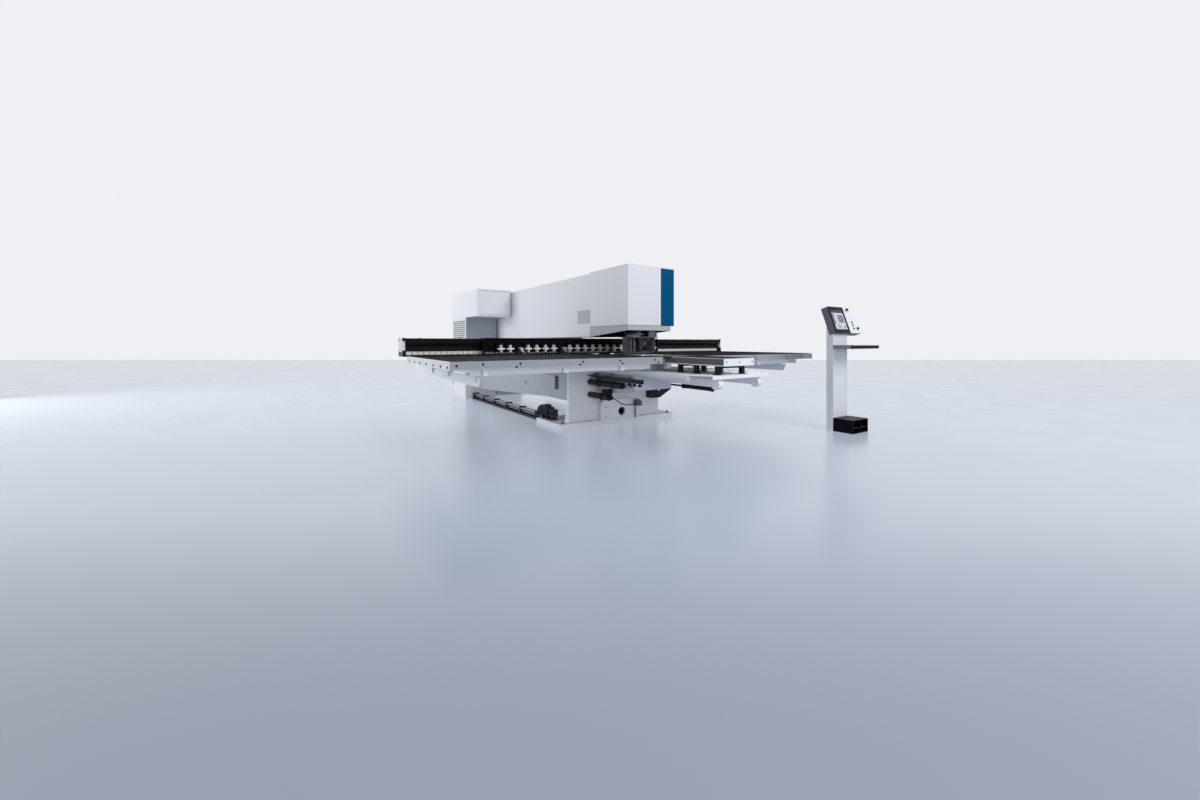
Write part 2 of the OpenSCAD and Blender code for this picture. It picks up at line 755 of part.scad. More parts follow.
// Head block that carries the turning tool holder, and the ram's cylinder
module tool_drive() {
    cylinder_top = 1760;
    color(light_grey) difference() {
        union() {
            block([-141, punch_y - 140, neck_low_z], [-108, punch_y + 130, head_seam_z]);
            block([24, punch_y - 140, neck_low_z], [160, punch_y + 130, head_seam_z]);
            block([-109, punch_y - 96, neck_low_z], [25, punch_y + 130, head_seam_z]);
            block([-109, punch_y - 141, head_seam_z - 62], [25, punch_y - 90, head_seam_z]);
            translate([0, punch_y, head_seam_z - 1]) cylinder(r = ram_r + 45, h = cylinder_top
                - head_seam_z + 1);
        }
        translate([0, punch_y, neck_low_z - 1])
            cylinder(r = hub_r + shaft_clear, h = head_seam_z - neck_low_z + 1);
        translate([0, punch_y, neck_low_z])
            cylinder(r = ram_r + shaft_clear, h = cylinder_top - neck_low_z - 40);
    }
}

// Ram with its chuck and the punch
module ram() {
    punch_r = 20.4;
    tip_z = stripper_z + 4;
    chuck_z = stripper_z + 55;
    color(steel) translate([0, punch_y, 0]) union() {
        translate([0, 0, tip_z]) cylinder(r = punch_r, h = chuck_z - tip_z + 1);
        translate([0, 0, chuck_z]) cylinder(r = 36, h = 28);
        translate([0, 0, chuck_z + 27]) cylinder(r = ram_r, h = 1640 - chuck_z - 27);
    }
}

// Outline of the gear ring with trapezoid teeth
module gear_outline(r, teeth, depth) {
    step = 360 / teeth;
    polygon([for (i = [0 : teeth - 1], p = [[0.06, -depth], [0.20, 0], [0.50, 0], [0.64, -depth]])
        (r + p[1]) * [cos((i + p[0]) * step), sin((i + p[0]) * step)]]);
}

// Turning tool holder: hub, gear ring and the two jaws around the chuck
module tool_head() {
    jaw_r = ram_r + 24;
    color(steel) translate([0, punch_y, 0]) difference() {
        union() {
            translate([0, 0, gear_z1 - 1]) cylinder(r = hub_r, h = head_seam_z - 4 - gear_z1 + 1);
            translate([0, 0, gear_z0]) linear_extrude(gear_z1 - gear_z0)
                gear_outline(gear_r, gear_teeth, 11);
            translate([0, 0, jaw_low_z]) cylinder(r = jaw_r, h = gear_z0 - jaw_low_z + 1);
        }
        translate([0, 0, gear_z1 - 10]) cylinder(r = ram_r + shaft_clear, h = 200);
        translate([0, 0, jaw_low_z - 1]) cylinder(r = ram_r + 3, h = gear_z1 - 9 - jaw_low_z);
        translate([-34, -jaw_r - 1, jaw_low_z - 1]) cube([68, 2 * jaw_r + 2, 76]);
        for (a = [0 : 45 : 315]) rotate(a + 22.5) translate([gear_r - 26, 0, gear_z0 - 1])
            cylinder(r = 7, h = 13);
    }
}

// Fixed stripper plate under the tool holder, hung from side blocks
module stripper() {
    plate_z = neck_low_z - 12;
    x0 = -250;
    x1 = 190;
    low_t = 12;
    color(dark_grey) difference() {
        union() {
            block([x0, punch_y - 120, plate_z], [x1, punch_y + 120, neck_low_z]);
            block([x0, punch_y - 52, stripper_z], [x0 + 108, punch_y + 60, plate_z + 1]);
            block([x1 - 56, punch_y - 52, stripper_z], [x1, punch_y + 60, plate_z + 1]);
            block([x0 + 1, punch_y - 40, stripper_z], [x1 - 1, punch_y + 40, stripper_z + low_t]);
            translate([0, punch_y, stripper_z]) cylinder(r = 62, h = low_t);
        }
        translate([0, punch_y, plate_z - 1]) cylinder(r = hub_r + 5, h = 20);
        translate([0, punch_y, stripper_z - 1]) cylinder(r = 24, h = low_t + 2);
        block([x0 + 30, punch_y - 60, stripper_z + 40], [x0 + 78, punch_y - 30, plate_z - 30]);
    }
    color(steel) for (x = [x0 + 26, x0 + 80, x1 - 28])
        translate([x, punch_y - 76, stripper_z + 30]) union() {
            cylinder(r = 15, h = plate_z - stripper_z - 30);
            cylinder(r = 21, h = 24);
            translate([0, 0, 70]) cylinder(r = 21, h = 30);
        }
}

die_floor_z = throat_floor_z + 12;

module die_seat() {
    color(steel) translate([0, punch_y, throat_floor_z]) difference() {
        cylinder(r = seat_r, h = table_z - 1 - throat_floor_z);
        translate([0, 0, die_floor_z - throat_floor_z - fit])
            cylinder(r = die_r + shaft_clear, h = 200);
        translate([0, 0, -1]) cylinder(r = die_r - 8, h = 200);
    }
}

// Turning die with its hole and slug bore
module die() {
    color(steel) translate([0, punch_y, die_floor_z]) difference() {
        cylinder(r = die_r, h = table_z - die_floor_z);
        translate([0, 0, -1]) cylinder(r = 30, h = table_z - die_floor_z - 11);
        cylinder(r = 20.9, h = 200);
        for (a = [45 : 90 : 315]) rotate(a) translate([die_r - 12, 0, table_z - die_floor_z - 6])
            cylinder(r = 4, h = 7);
    }
}

table_rear_y = rail_front_y - 15;
left_inner_x = strip_x0 - 24;
right_inner_x = strip_x1 + 20;

// One travelling table: folded aprons, top plate and inner ribs
module table_pan(x0, x1) {
    t = 6;
    plate_t = 10;
    top = table_z - 4;
    low = table_z - apron_h;
    color(white) difference() {
        block([x0, table_front_y, low], [x1, table_rear_y, top]);
        block([x0 + t, table_front_y + t, low - 1], [x1 - t, table_rear_y - t, top - plate_t]);
    }
}

module left_table() {
    table_pan(-table_w / 2, left_inner_x);
}

module right_table() {
    table_pan(right_inner_x, table_w / 2);
}

// Brush fields of one travelling table, split into strips along X
module brush_strips(x0, x1) {
    count = 8;
    step = (x1 - x0 - 2 * brush_margin) / count;
    color(black) for (i = [0 : count - 1])
        block([x0 + brush_margin + i * step, table_front_y + brush_margin, table_z - 4],
            [x0 + brush_margin + (i + 1) * step - 3, table_rear_y - brush_margin, table_z]);
}

module left_brushes() {
    brush_strips(-table_w / 2, left_inner_x);
}

module right_brushes() {
    brush_strips(right_inner_x, table_w / 2);
}

beam_x = 2330;
beam_top_z = 790;

// Beams below the travelling tables that tie them to the cross rail
module table_beams() {
    runner_z0 = pedestal_top_z + 12;
    runner_z1 = table_z - apron_h;
    rail_low_z = rail_top_z - 220;
    runner_w = 50;
    color(white) for (s = [-1, 1]) union() {
        along_x(s * beam_x - 6, s * beam_x + 6) polygon([[-1330, beam_top_z], [-1290, 695],
            [1400, 695], [1474, 740], [1474, beam_top_z]]);
        for (y = [-1240, -340, 400])
            block([s * beam_x - 30, y, 740], [s * beam_x + 30, y + 90, runner_z0 + 1]);
        for (x = [beam_x, 1500, 800]) {
            block([s * x - runner_w / 2, table_front_y + 60, runner_z0],
                [s * x + runner_w / 2, rail_front_y + rail_d - 20, runner_z1]);
            block([s * x - runner_w / 2, rail_front_y + 10, runner_z1 - 1],
                [s * x + runner_w / 2, rail_front_y + rail_d - 20, rail_low_z]);
        }
        for (y = [table_front_y + 120, -200])
            block([min(s * 360, s * 2440), y, runner_z0], [max(s * 360, s * 2440), y + 60,
                runner_z1]);
    }
}

saddle_y0 = rail_front_y + 20;
saddle_y1 = rail_front_y + rail_d - 20;

// Bearing saddles that carry the cross rail on the frame's Y rails
module y_saddles() {
    w = 80;
    low = throat_floor_z + 8;
    high = rail_top_z - 220;
    color(dark_grey) for (s = [-1, 1]) difference() {
        block([s * y_rail_x - w / 2, saddle_y0, low], [s * y_rail_x + w / 2, saddle_y1, high]);
        block([s * y_rail_x - y_rail_w / 2 - fit, saddle_y0 - 1, low - 1],
            [s * y_rail_x + y_rail_w / 2 + fit, saddle_y1 + 1, throat_floor_z + y_rail_h + fit]);
    }
}

guide_z0 = rail_top_z - 54;
guide_z1 = rail_top_z - 26;
guide_d = 22;

// Beam that spans the tables, with the guide bar for the magazine carriage
module cross_rail() {
    half = rail_len / 2 - 26;
    front = rail_front_y;
    top = rail_top_z;
    color(dark_grey) along_x(-half, half) polygon([[front, top - 8], [front + 8, top],
        [front + rail_d, top], [front + rail_d, top - 220], [front - 6, top - 220],
        [front - 6, top - 199], [front + 12, top - 199], [front + 12, top - 158],
        [front + 44, top - 75], [front, top - 75]]);
    color(steel) block([-half, front - guide_d, guide_z0], [half, front, guide_z1]);
}

// Cast caps on both ends of the cross rail
module rail_ends() {
    t = 26;
    color(light_grey) for (s = [-1, 1]) {
        x_in = s * (rail_len / 2 - t);
        x_out = s * rail_len / 2;
        along_x(min(x_in, x_out), max(x_in, x_out)) polygon([[rail_front_y - 12, rail_top_z + 4],
            [rail_front_y + rail_d + 4, rail_top_z + 4], [rail_front_y + rail_d + 4,
            rail_top_z - 220], [rail_front_y - 22, rail_top_z - 220]]);
    }
}

// Row of light support rollers along the foot of the cross rail
module roller_strip() {
    half = rail_len / 2 - 40;
    pitch = 68;
    low = rail_top_z - 199;
    color(light_grey) for (x = [-half : pitch : half - pitch])
        block([x, rail_front_y - 8, low], [x + pitch - 8, rail_front_y + 12, low + 39]);
}

last_station = 20;
clamp_stations = [2, 7, 17];
mag_x0 = first_station_x - 229;
mag_x1 = first_station_x + last_station * station_pitch + 92;
mag_y1 = rail_front_y - 2;          // back of the carriage
mag_y0 = mag_y1 - magazine_d;       // front of the magazine's comb
mag_low_z = table_z + 16;
mag_top_z = rail_top_z + 7;

function station_x(k) = first_station_x + k * station_pitch;

// Carriage of the tool magazine: back beam, lid, end plates and bearing blocks
module carriage() {
    back_y = rail_front_y - guide_d - 46;
    beam_y = back_y - 30;
    end_t = 14;
    color(black) difference() {
        union() {
            block([mag_x0, beam_y, mag_low_z + 26], [mag_x1, back_y, mag_top_z - 10]);
            block([mag_x0, beam_y - 26, mag_top_z - 14], [mag_x1, mag_y1, mag_top_z]);
            for (x = [mag_x0, mag_x1 - end_t])
                block([x, mag_y0, mag_low_z], [x + end_t, back_y + 1, mag_top_z - 1]);
            for (k = [0 : 4 : last_station])
                block([station_x(k) - 60, back_y - 1, guide_z0 - 16], [station_x(k) + 60,
                    rail_front_y - 4, guide_z1 + 14]);
        }
        block([mag_x0 - 1, rail_front_y - guide_d - fit, guide_z0 - fit], [mag_x1 + 1, rail_front_y,
            guide_z1 + fit]);
    }
}

comb_y1 = rail_front_y - guide_d - 76;
fin_top_z = mag_top_z - 62;

// Comb of station holders along the front of the carriage
module magazine() {
    fin_t = 8;
    color(dark_grey) union() {
        block([mag_x0 + 14, comb_y1 - 22, fin_top_z - 26], [mag_x1 - 14, comb_y1, fin_top_z]);
        block([mag_x0 + 14, comb_y1 - 12, mag_low_z + 26], [mag_x1 - 14, comb_y1, fin_top_z]);
        for (k = [0 : last_station + 1])
            block([station_x(k) - station_pitch / 2 - fin_t / 2, mag_y0, mag_low_z + 14],
                [station_x(k) - station_pitch / 2 + fin_t / 2, comb_y1 - 1, fin_top_z]);
    }
}

cross_h = 92;
puck_r = 17;

// Tool cassettes: fork, punch, stripper disc, die puck and the light front cross
module cassettes() {
    low = mag_low_z + 18;
    tool_y = mag_y0 + 16;
    for (k = [0 : last_station]) if (len(search(k, clamp_stations)) == 0)
        translate([station_x(k), tool_y, low]) {
            color(aluminium) union() {
                block([-11, -30, 0], [11, -12, cross_h]);
                block([-cassette_w / 2, -26, 34], [cassette_w / 2, -12, 54]);
                for (s = [-1, 1]) block([min(s * cassette_w / 2, s * (cassette_w / 2 - 10)), -26,
                    34], [max(s * cassette_w / 2, s * (cassette_w / 2 - 10)), comb_y1 - 12 - tool_y,
                    54]);
                block([-9, -13, cross_h - 24], [9, 6, cross_h - 8]);
                block([-9, -13, 4], [9, 6, 16]);
                translate([0, 6, cross_h - 34]) cylinder(r = puck_r, h = 34);
                translate([0, 6, 2]) cylinder(r = puck_r, h = 17);
            }
        }
}

clamp_pivot_y = mag_y0 - 46;
clamp_pivot_z = table_z + 76;
clamp_tip_y = mag_y0 - 160;

// Sheet clamps: lower jaw, side cheeks and pivot pin on the carriage
module clamp_bodies() {
    low = table_z + 3;
    cheek = 32;
    gap = 20;
    color(aluminium) for (k = clamp_stations) translate([station_x(k), 0, 0]) union() {
        along_x(-cheek, cheek) polygon([[clamp_tip_y, low], [clamp_tip_y, low + 9],
            [clamp_tip_y + 70, low + 11], [mag_y0 - 20, low + 38], [comb_y1 - 12, low + 60],
            [comb_y1 - 12, low + 30], [mag_y0 + 10, low + 4], [mag_y0 - 20, low]]);
        for (s = [-1, 1]) along_x(min(s * gap, s * cheek), max(s * gap, s * cheek))
            polygon([[clamp_pivot_y - 18, low + 10], [clamp_pivot_y - 18, clamp_pivot_z + 8],
                [clamp_pivot_y - 8, clamp_pivot_z + 18],
                [clamp_pivot_y + 14, clamp_pivot_z + 18], [comb_y1 - 12, clamp_pivot_z + 34],
                [comb_y1 - 12, low + 40], [mag_y0 - 20, low + 10]]);
        rod_x(clamp_pivot_y, clamp_pivot_z, pin_r, -cheek - 6, cheek + 6);
    }
}

// Upper jaw of one clamp, which swings up about its pivot pin
module clamp_jaw(k) {
    low = table_z + 14;
    half = 19;
    color(steel) translate([station_x(k), 0, 0]) difference() {
        along_x(-half, half) union() {
            polygon([[clamp_tip_y + 2, low], [clamp_tip_y + 2, low + 11],
                [clamp_tip_y + 50, low + 28], [clamp_pivot_y - 6, clamp_pivot_z + 17],
                [clamp_pivot_y + 34, clamp_pivot_z + 17], [clamp_pivot_y + 34, clamp_pivot_z - 6],
                [clamp_pivot_y + 12, clamp_pivot_z - 16], [clamp_tip_y + 74, low + 16],
                [clamp_tip_y + 50, low]]);
        }
        rod_x(clamp_pivot_y, clamp_pivot_z, pin_r + shaft_clear, -half - 1, half + 1);
    }
}

module clamp_jaw_1() {
    clamp_jaw(clamp_stations[0]);
}

module clamp_jaw_2() {
    clamp_jaw(clamp_stations[1]);
}

module clamp_jaw_3() {
    clamp_jaw(clamp_stations[2]);
}

housing_w = 600;
housing_h = 358;
housing_d = 87;
housing_y = console_y - 38;
housing_z = post_h - 167;
bezel_w = 340;

// Frame of the leaning console housing: X across, Y into it, Z up its front
module on_housing() {
    translate([console_x, housing_y, housing_z]) rotate([-screen_lean, 0, 0]) children();
}

module console_post() {
    tab = 34;
    color(light_grey) difference() {
        union() {
            block([console_x, console_y, 0], [console_x + post_w, console_y + post_d, post_h]);
            for (y = [console_y + 8, console_y + post_d - 38])
                block([console_x - tab, y, 0], [console_x + 1, y + 30, 8]);
        }
        block([console_x + 3, console_y + 3, 3], [console_x + post_w - 3, console_y + post_d - 3,
            post_h - 220]);
        on_housing() block([-1, -300, -1], [housing_w, housing_d, housing_h + 200]);
        for (y = [console_y + 23, console_y + post_d - 23])
            translate([console_x - tab + 15, y, -1]) cylinder(r = 5.5, h = 10);
    }
}

estop_at = [410, 322];
knob_at = [540, 66];

// Leaning sheet-metal box behind the screen and the key panel
module console_housing() {
    wall = 3;
    color(mid_grey) on_housing() difference() {
        block([0, 0, 0], [housing_w, housing_d, housing_h]);
        block([wall, wall, wall], [housing_w - wall, housing_d - wall, housing_h - wall]);
        for (p = [estop_at, knob_at]) rod_y(p[0], p[1], 15, -1, wall + 1);
    }
}

module console_bezel() {
    color(black) on_housing() difference() {
        block([0, -8, 0], [bezel_w, 0, housing_h]);
        block([34, -9, 44], [bezel_w - 34, -3, housing_h - 40]);
    }
}

module console_screen() {
    color([0.55, 0.62, 0.72]) on_housing()
        block([34, -6, 44], [bezel_w - 34, -3, housing_h - 40]);
}

// White key panel beside the screen, with two buttons
module control_panel() {
    t = 8;
    color(white) on_housing() difference() {
        block([bezel_w, -t, 0], [housing_w, 0, housing_h]);
        rod_y(estop_at[0], estop_at[1], 8 + shaft_clear, -t - 1, 1);
        rod_y(knob_at[0], knob_at[1], 5 + shaft_clear, -t - 1, 1);
    }
    color(dark_grey) on_housing() for (z = [66, 108, 150]) rod_y(knob_at[0] - 90, z, 11, -t - 5, -t);
    color([0.95, 0.78, 0.10]) on_housing() difference() {
        rod_y(estop_at[0], estop_at[1], 26, -t - 5, -t);
        rod_y(estop_at[0], estop_at[1], 12, -t - 6, -t + 1);
    }
}

// Emergency stop: mushroom head on a stem that pushes in
module emergency_stop() {
    stroke = 6;
    color([0.72, 0.05, 0.05]) on_housing() union() {
        rod_y(estop_at[0], estop_at[1], 8, -13 - stroke - 8, 14);
        rod_y(estop_at[0], estop_at[1], 19, -13 - stroke - 14, -13 - stroke - 1);
        rod_y(estop_at[0], estop_at[1], 16, -13 - stroke - 18, -13 - stroke - 13);
    }
}

// Turning override knob with its pointer rib
module mode_knob() {
    color(black) on_housing() union() {
        rod_y(knob_at[0], knob_at[1], 5, -12, 12);
        rod_y(knob_at[0], knob_at[1], 17, -24, -9);
        block([knob_at[0] - 3, -29, knob_at[1] - 14], [knob_at[0] + 3, -23, knob_at[1] + 14]);
    }
}

// Shelf in front of the post with its dark palm rest
module console_shelf() {
    x1 = console_x + 635;
    y0 = console_y - 248;
    z0 = 1035;
    color(mid_grey) difference() {
        block([console_x, y0 + 20, z0], [x1, console_y, z0 + 45]);
        block([console_x + 60, y0 + 50, z0 + 38], [x1 - 60, console_y - 30, z0 + 46]);
    }
    color(black) difference() {
        block([console_x, y0, z0], [x1, y0 + 20, z0 + 45]);
        for (z = [z0 - 1, z0 + 37]) block([console_x - 1, y0 - 1, z], [x1 + 1, y0 + 5, z + 9]);
    }
}

foot_box_y0 = console_y - 250;
foot_box_w = 350;
foot_box_h = 165;
foot_wall = 8;
pedal_y = console_y - 46;
pedal_z = 34;

// Hooded floor box with two pedal bays that open to the front
module foot_switch_box() {
    x0 = console_x;
    x1 = console_x + foot_box_w;
    xm = console_x + foot_box_w / 2;
    color(black) union() {
        difference() {
            block([x0, foot_box_y0, 0], [x1, console_y, foot_box_h]);
            for (x = [[x0 + foot_wall, xm - foot_wall / 2], [xm + foot_wall / 2, x1 - foot_wall]])
                block([x[0], foot_box_y0 - 1, foot_wall], [x[1], console_y - foot_wall,
                    foot_box_h - foot_wall]);
        }
        rod_x(pedal_y, pedal_z, 6, x0 + 1, x1 - 1);
    }
}

// One foot pedal that presses down about the box's rear pin
module pedal(x0, x1) {
    color(dark_grey) difference() {
        union() {
            rod_x(pedal_y, pedal_z, 12, x0 + 6, x1 - 6);
            along_x(x0 + 3, x1 - 3) polygon([[pedal_y, pedal_z - 4], [pedal_y, pedal_z + 8],
                [foot_box_y0 + 26, pedal_z + 36], [foot_box_y0 + 14, pedal_z + 32],
                [foot_box_y0 + 14, pedal_z + 24]]);
        }
        rod_x(pedal_y, pedal_z, 6 + shaft_clear, x0 - 1, x1 + 1);
    }
}

module left_pedal() {
    pedal(console_x + foot_wall, console_x + foot_box_w / 2 - foot_wall / 2);
}

module right_pedal() {
    pedal(console_x + foot_box_w / 2 + foot_wall / 2, console_x + foot_box_w - foot_wall);
}

foot_plate();
pedestal();
c_frame();
arm_cover();
head_cover();
head_skirt();
accent_casing();
side_panels();
rear_cabinet();
overhead_box();
cabinet_grille();
junction_box();
pipe_tray();
floor_pipes();
drive_motor();
accumulators();
valve_manifold();
lube_block();
strut_bracket();
gas_strut();
parts_deck();
deck_beams();
table_posts();
front_table();
die_table();
chute_flap();
y_rails();
tool_drive();
ram();
tool_head();
stripper();
die_seat();
die();
left_table();
right_table();
left_brushes();
right_brushes();
table_beams();
y_saddles();
cross_rail();
rail_ends();
roller_strip();
carriage();
magazine();
cassettes();
clamp_bodies();
clamp_jaw_1();
clamp_jaw_2();
clamp_jaw_3();
console_post();
console_housing();
console_bezel();
console_screen();
control_panel();
emergency_stop();
mode_knob();
console_shelf();
foot_switch_box();
left_pedal();
right_pedal();
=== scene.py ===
"""Looks of the sheet-metal punch press: finishes, fine detail, stage, lights and camera.

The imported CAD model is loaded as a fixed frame. Every piece made here is a mesh worked
out with numpy, lies in metres in the CAD's own frame and rides on a CAD body.
"""

import json
import logging
import math
import operator
from dataclasses import dataclass, field
from enum import Enum
from functools import reduce
from typing import ClassVar

import bpy
import numpy as np
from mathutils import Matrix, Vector

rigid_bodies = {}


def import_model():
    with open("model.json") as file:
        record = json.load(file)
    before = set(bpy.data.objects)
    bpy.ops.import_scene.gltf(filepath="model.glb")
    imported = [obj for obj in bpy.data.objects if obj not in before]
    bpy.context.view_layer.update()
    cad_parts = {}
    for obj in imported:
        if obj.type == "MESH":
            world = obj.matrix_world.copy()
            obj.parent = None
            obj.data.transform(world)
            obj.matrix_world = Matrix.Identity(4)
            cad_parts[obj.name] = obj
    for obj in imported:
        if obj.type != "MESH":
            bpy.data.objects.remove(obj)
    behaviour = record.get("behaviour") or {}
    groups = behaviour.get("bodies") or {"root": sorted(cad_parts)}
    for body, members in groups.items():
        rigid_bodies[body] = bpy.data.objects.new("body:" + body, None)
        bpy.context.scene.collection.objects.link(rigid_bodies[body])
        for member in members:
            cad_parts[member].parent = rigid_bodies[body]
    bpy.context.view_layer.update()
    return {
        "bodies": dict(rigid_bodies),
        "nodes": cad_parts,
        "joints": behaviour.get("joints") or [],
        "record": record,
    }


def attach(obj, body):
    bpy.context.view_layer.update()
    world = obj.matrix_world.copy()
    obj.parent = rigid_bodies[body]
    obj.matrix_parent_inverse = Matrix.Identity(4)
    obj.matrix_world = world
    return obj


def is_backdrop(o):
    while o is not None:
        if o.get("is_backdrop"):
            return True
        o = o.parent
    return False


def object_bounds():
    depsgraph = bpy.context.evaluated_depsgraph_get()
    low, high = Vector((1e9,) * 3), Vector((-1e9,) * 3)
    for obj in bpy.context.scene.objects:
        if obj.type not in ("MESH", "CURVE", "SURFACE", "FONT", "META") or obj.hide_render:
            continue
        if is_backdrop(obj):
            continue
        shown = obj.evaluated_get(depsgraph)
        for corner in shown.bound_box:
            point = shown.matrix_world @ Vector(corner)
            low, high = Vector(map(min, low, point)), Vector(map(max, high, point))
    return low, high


LOG = logging.getLogger("punch_press")

# Rows of two values, such as the x and z of several screws.
Pairs = tuple[tuple[float, float], ...]

# How far a drawn seam stands proud of its sheet.
HAIR = 0.0006
# Thickness of one layer of the lit page on the screen.
PAGE_STEP = 0.0003
# Distance between bristle tufts.
TUFT_PITCH = 0.036
# Edges that bend by more degrees than this stay sharp.
SHARP_ANGLE = 35


class Axis(Enum):
    """The three directions of the shared frame, as column numbers."""

    X = 0
    Y = 1
    Z = 2


class Body(str, Enum):
    """Names of the CAD bodies that pieces ride on."""

    MACHINE = "machine"
    TABLES = "table_axis"
    MAGAZINE = "magazine_axis"


@dataclass
class Shape:
    """A surface as arrays: points, and faces grouped by their corner count.

    Attributes:
        points: Corner positions, one row of x, y, z each.
        faces: Arrays of point numbers, each with one row for each face.
    """

    points: np.ndarray
    faces: list[np.ndarray] = field(default_factory=list)

    def moved(self, x: float = 0.0, y: float = 0.0, z: float = 0.0) -> "Shape":
        """Returns the shape shifted by x, y and z."""
        return Shape(self.points + np.array([x, y, z]), self.faces)

    def turned(self, axis: Axis, degrees: float) -> "Shape":
        """Returns the shape turned about an axis through the origin.

        Args:
            axis: The axis to turn about.
            degrees: The angle, by the right-hand rule.

        Returns:
            A turned copy: the two other coordinates are multiplied by the plane rotation.
        """
        angle = math.radians(degrees)
        first, second = [(1, 2), (2, 0), (0, 1)][axis.value]
        out = self.points.copy()
        cos, sin = math.cos(angle), math.sin(angle)
        out[:, first] = self.points[:, first] * cos - self.points[:, second] * sin
        out[:, second] = self.points[:, first] * sin + self.points[:, second] * cos
        return Shape(out, self.faces)

    def along(self, axis: Axis, reverse: bool = False) -> "Shape":
        """Returns the shape with its Z direction laid along an axis.

        Args:
            axis: The axis that Z turns onto.
            reverse: Whether Z points the negative way along that axis.

        Returns:
            A turned copy.
        """
        if axis is Axis.X:
            return self.turned(Axis.Y, -90 if reverse else 90)
        if axis is Axis.Y:
            return self.turned(Axis.X, 90 if reverse else -90)
        return self.turned(Axis.X, 180 if reverse else 0)

    def repeated(self, places: np.ndarray) -> "Shape":
        """Returns one copy of the shape at each place.

        Args:
            places: Offsets, one row of x, y, z each.

        Returns:
            All copies as one shape: every point plus every offset, by broadcasting.
        """
        places = np.asarray(places, float).reshape(-1, 3)
        points = (self.points[None] + places[:, None]).reshape(-1, 3)
        step = np.arange(len(places)) * len(self.points)
        faces = [(f[None] + step[:, None, None]).reshape(-1, f.shape[1]) for f in self.faces]
        return Shape(points, faces)

    def __add__(self, other: "Shape") -> "Shape":
        """Returns both shapes as one."""
        shifted = [f + len(self.points) for f in other.faces]
        return Shape(np.vstack([self.points, other.points]), self.faces + shifted)


def box(low: tuple[float, float, float], high: tuple[float, float, float]) -> Shape:
    """Makes a box between two corners.

    Args:
        low: The corner with the lowest coordinates.
        high: The corner with the highest coordinates.

    Returns:
        Eight corners, the binary numbers 0 to 7 in x, y, z, and six outward quads.
    """
    bits = np.array([[i & 1, i >> 1 & 1, i >> 2 & 1] for i in range(8)], float)
    points = np.array(low) + bits * (np.array(high) - np.array(low))
    quads = [[0, 2, 3, 1], [4, 5, 7, 6], [0, 1, 5, 4], [2, 6, 7, 3], [0, 4, 6, 2], [1, 3, 7, 5]]
    return Shape(points, [np.array(quads)])


def lathe(profile: list[tuple[float, float]], sides: int = 16) -> Shape:
    """Turns a profile about Z.

    Args:
        profile: Radius and height pairs, from the lower end to the upper, all radii above 0.
        sides: Flats around the turn.

    Returns:
        Rings of points at radius times cos and sin of the turn angle, quads between
        neighbouring rings, and a flat face over each end.
    """
    line = np.array(profile, float)
    turn = np.arange(sides) * 2 * np.pi / sides
    ring = np.stack([np.cos(turn), np.sin(turn)], 1)
    flat = line[:, None, :1] * ring[None]
    points = np.concatenate([flat, np.broadcast_to(line[:, None, 1:], flat[..., :1].shape)], 2)
    return Shape(points.reshape(-1, 3), ring_faces(len(line), sides))


def ring_faces(rings: int, sides: int) -> list[np.ndarray]:
    """Makes the faces of stacked rings of points.

    Args:
        rings: How many rings.
        sides: Points in each ring.

    Returns:
        Quads that join point k of ring r to its neighbours, and the two end faces.
    """
    r, k = np.meshgrid(np.arange(rings - 1), np.arange(sides), indexing="ij")
    a, b = r * sides + k, r * sides + (k + 1) % sides
    quads = np.stack([a, b, b + sides, a + sides], -1).reshape(-1, 4)
    low = np.arange(sides)[::-1][None]
    high = np.arange(sides)[None] + (rings - 1) * sides
    return [quads, low, high]


def prism(outline: list[tuple[float, float]], depth: float) -> Shape:
    """Extrudes a flat outline along Z.

    Args:
        outline: Corners in x and y, anticlockwise.
        depth: Height of the prism.

    Returns:
        The outline at Z 0 and at the depth, with quads between and both ends closed.
    """
    flat = np.array(outline, float)
    count = len(flat)
    low = np.hstack([flat, np.zeros((count, 1))])
    high = np.hstack([flat, np.full((count, 1), depth)])
    return Shape(np.vstack([low, high]), ring_faces(2, count))


def tube(path: list[tuple[float, float, float]], radius: float, sides: int = 10) -> Shape:
    """Carries a circle along a path.

    Args:
        path: Points of the centre line.
        radius: Radius of the tube.
        sides: Flats around it.

    Returns:
        At each path point a circle in the plane across the mean direction of its two
        neighbours, spanned by two unit vectors that are both square to it.
    """
    line = np.array(path, float)
    ahead = np.gradient(line, axis=0)
    ahead /= np.linalg.norm(ahead, axis=1, keepdims=True)
    spare = np.where(np.abs(ahead[:, 2:]) < 0.8, [[0.0, 0.0, 1.0]], [[1.0, 0.0, 0.0]])
    side = np.cross(ahead, spare)
    for i in range(1, len(side)):
        side[i] = side[i - 1] - ahead[i] * (side[i - 1] @ ahead[i])
    side /= np.linalg.norm(side, axis=1, keepdims=True)
    up = np.cross(side, ahead)
    turn = np.arange(sides) * 2 * np.pi / sides
    ring = np.cos(turn)[None, :, None] * side[:, None] - np.sin(turn)[None, :, None] * up[:, None]
    points = (line[:, None] + radius * ring).reshape(-1, 3)
    return Shape(points, ring_faces(len(line), sides))


def curve(knots: list[tuple[float, float, float]], steps: int = 8) -> list[tuple[float, ...]]:
    """Rounds a bent line through its knots.

    Args:
        knots: Points that the line passes through.
        steps: New points between two knots.

    Returns:
        Points of the Catmull-Rom cubic through the knots, with the ends doubled.
    """
    p = np.array([knots[0], *knots, knots[-1]], float)
    t = (np.arange(steps) / steps)[:, None]
    out = [
        0.5 * (2 * b + (c - a) * t + (2 * a - 5 * b + 4 * c - d) * t**2
               + (3 * b - a - 3 * c + d) * t**3)
        for a, b, c, d in zip(p[:-3], p[1:-2], p[2:-1], p[3:])
    ]
    return [tuple(q) for q in np.vstack([*out, p[-1:]])]


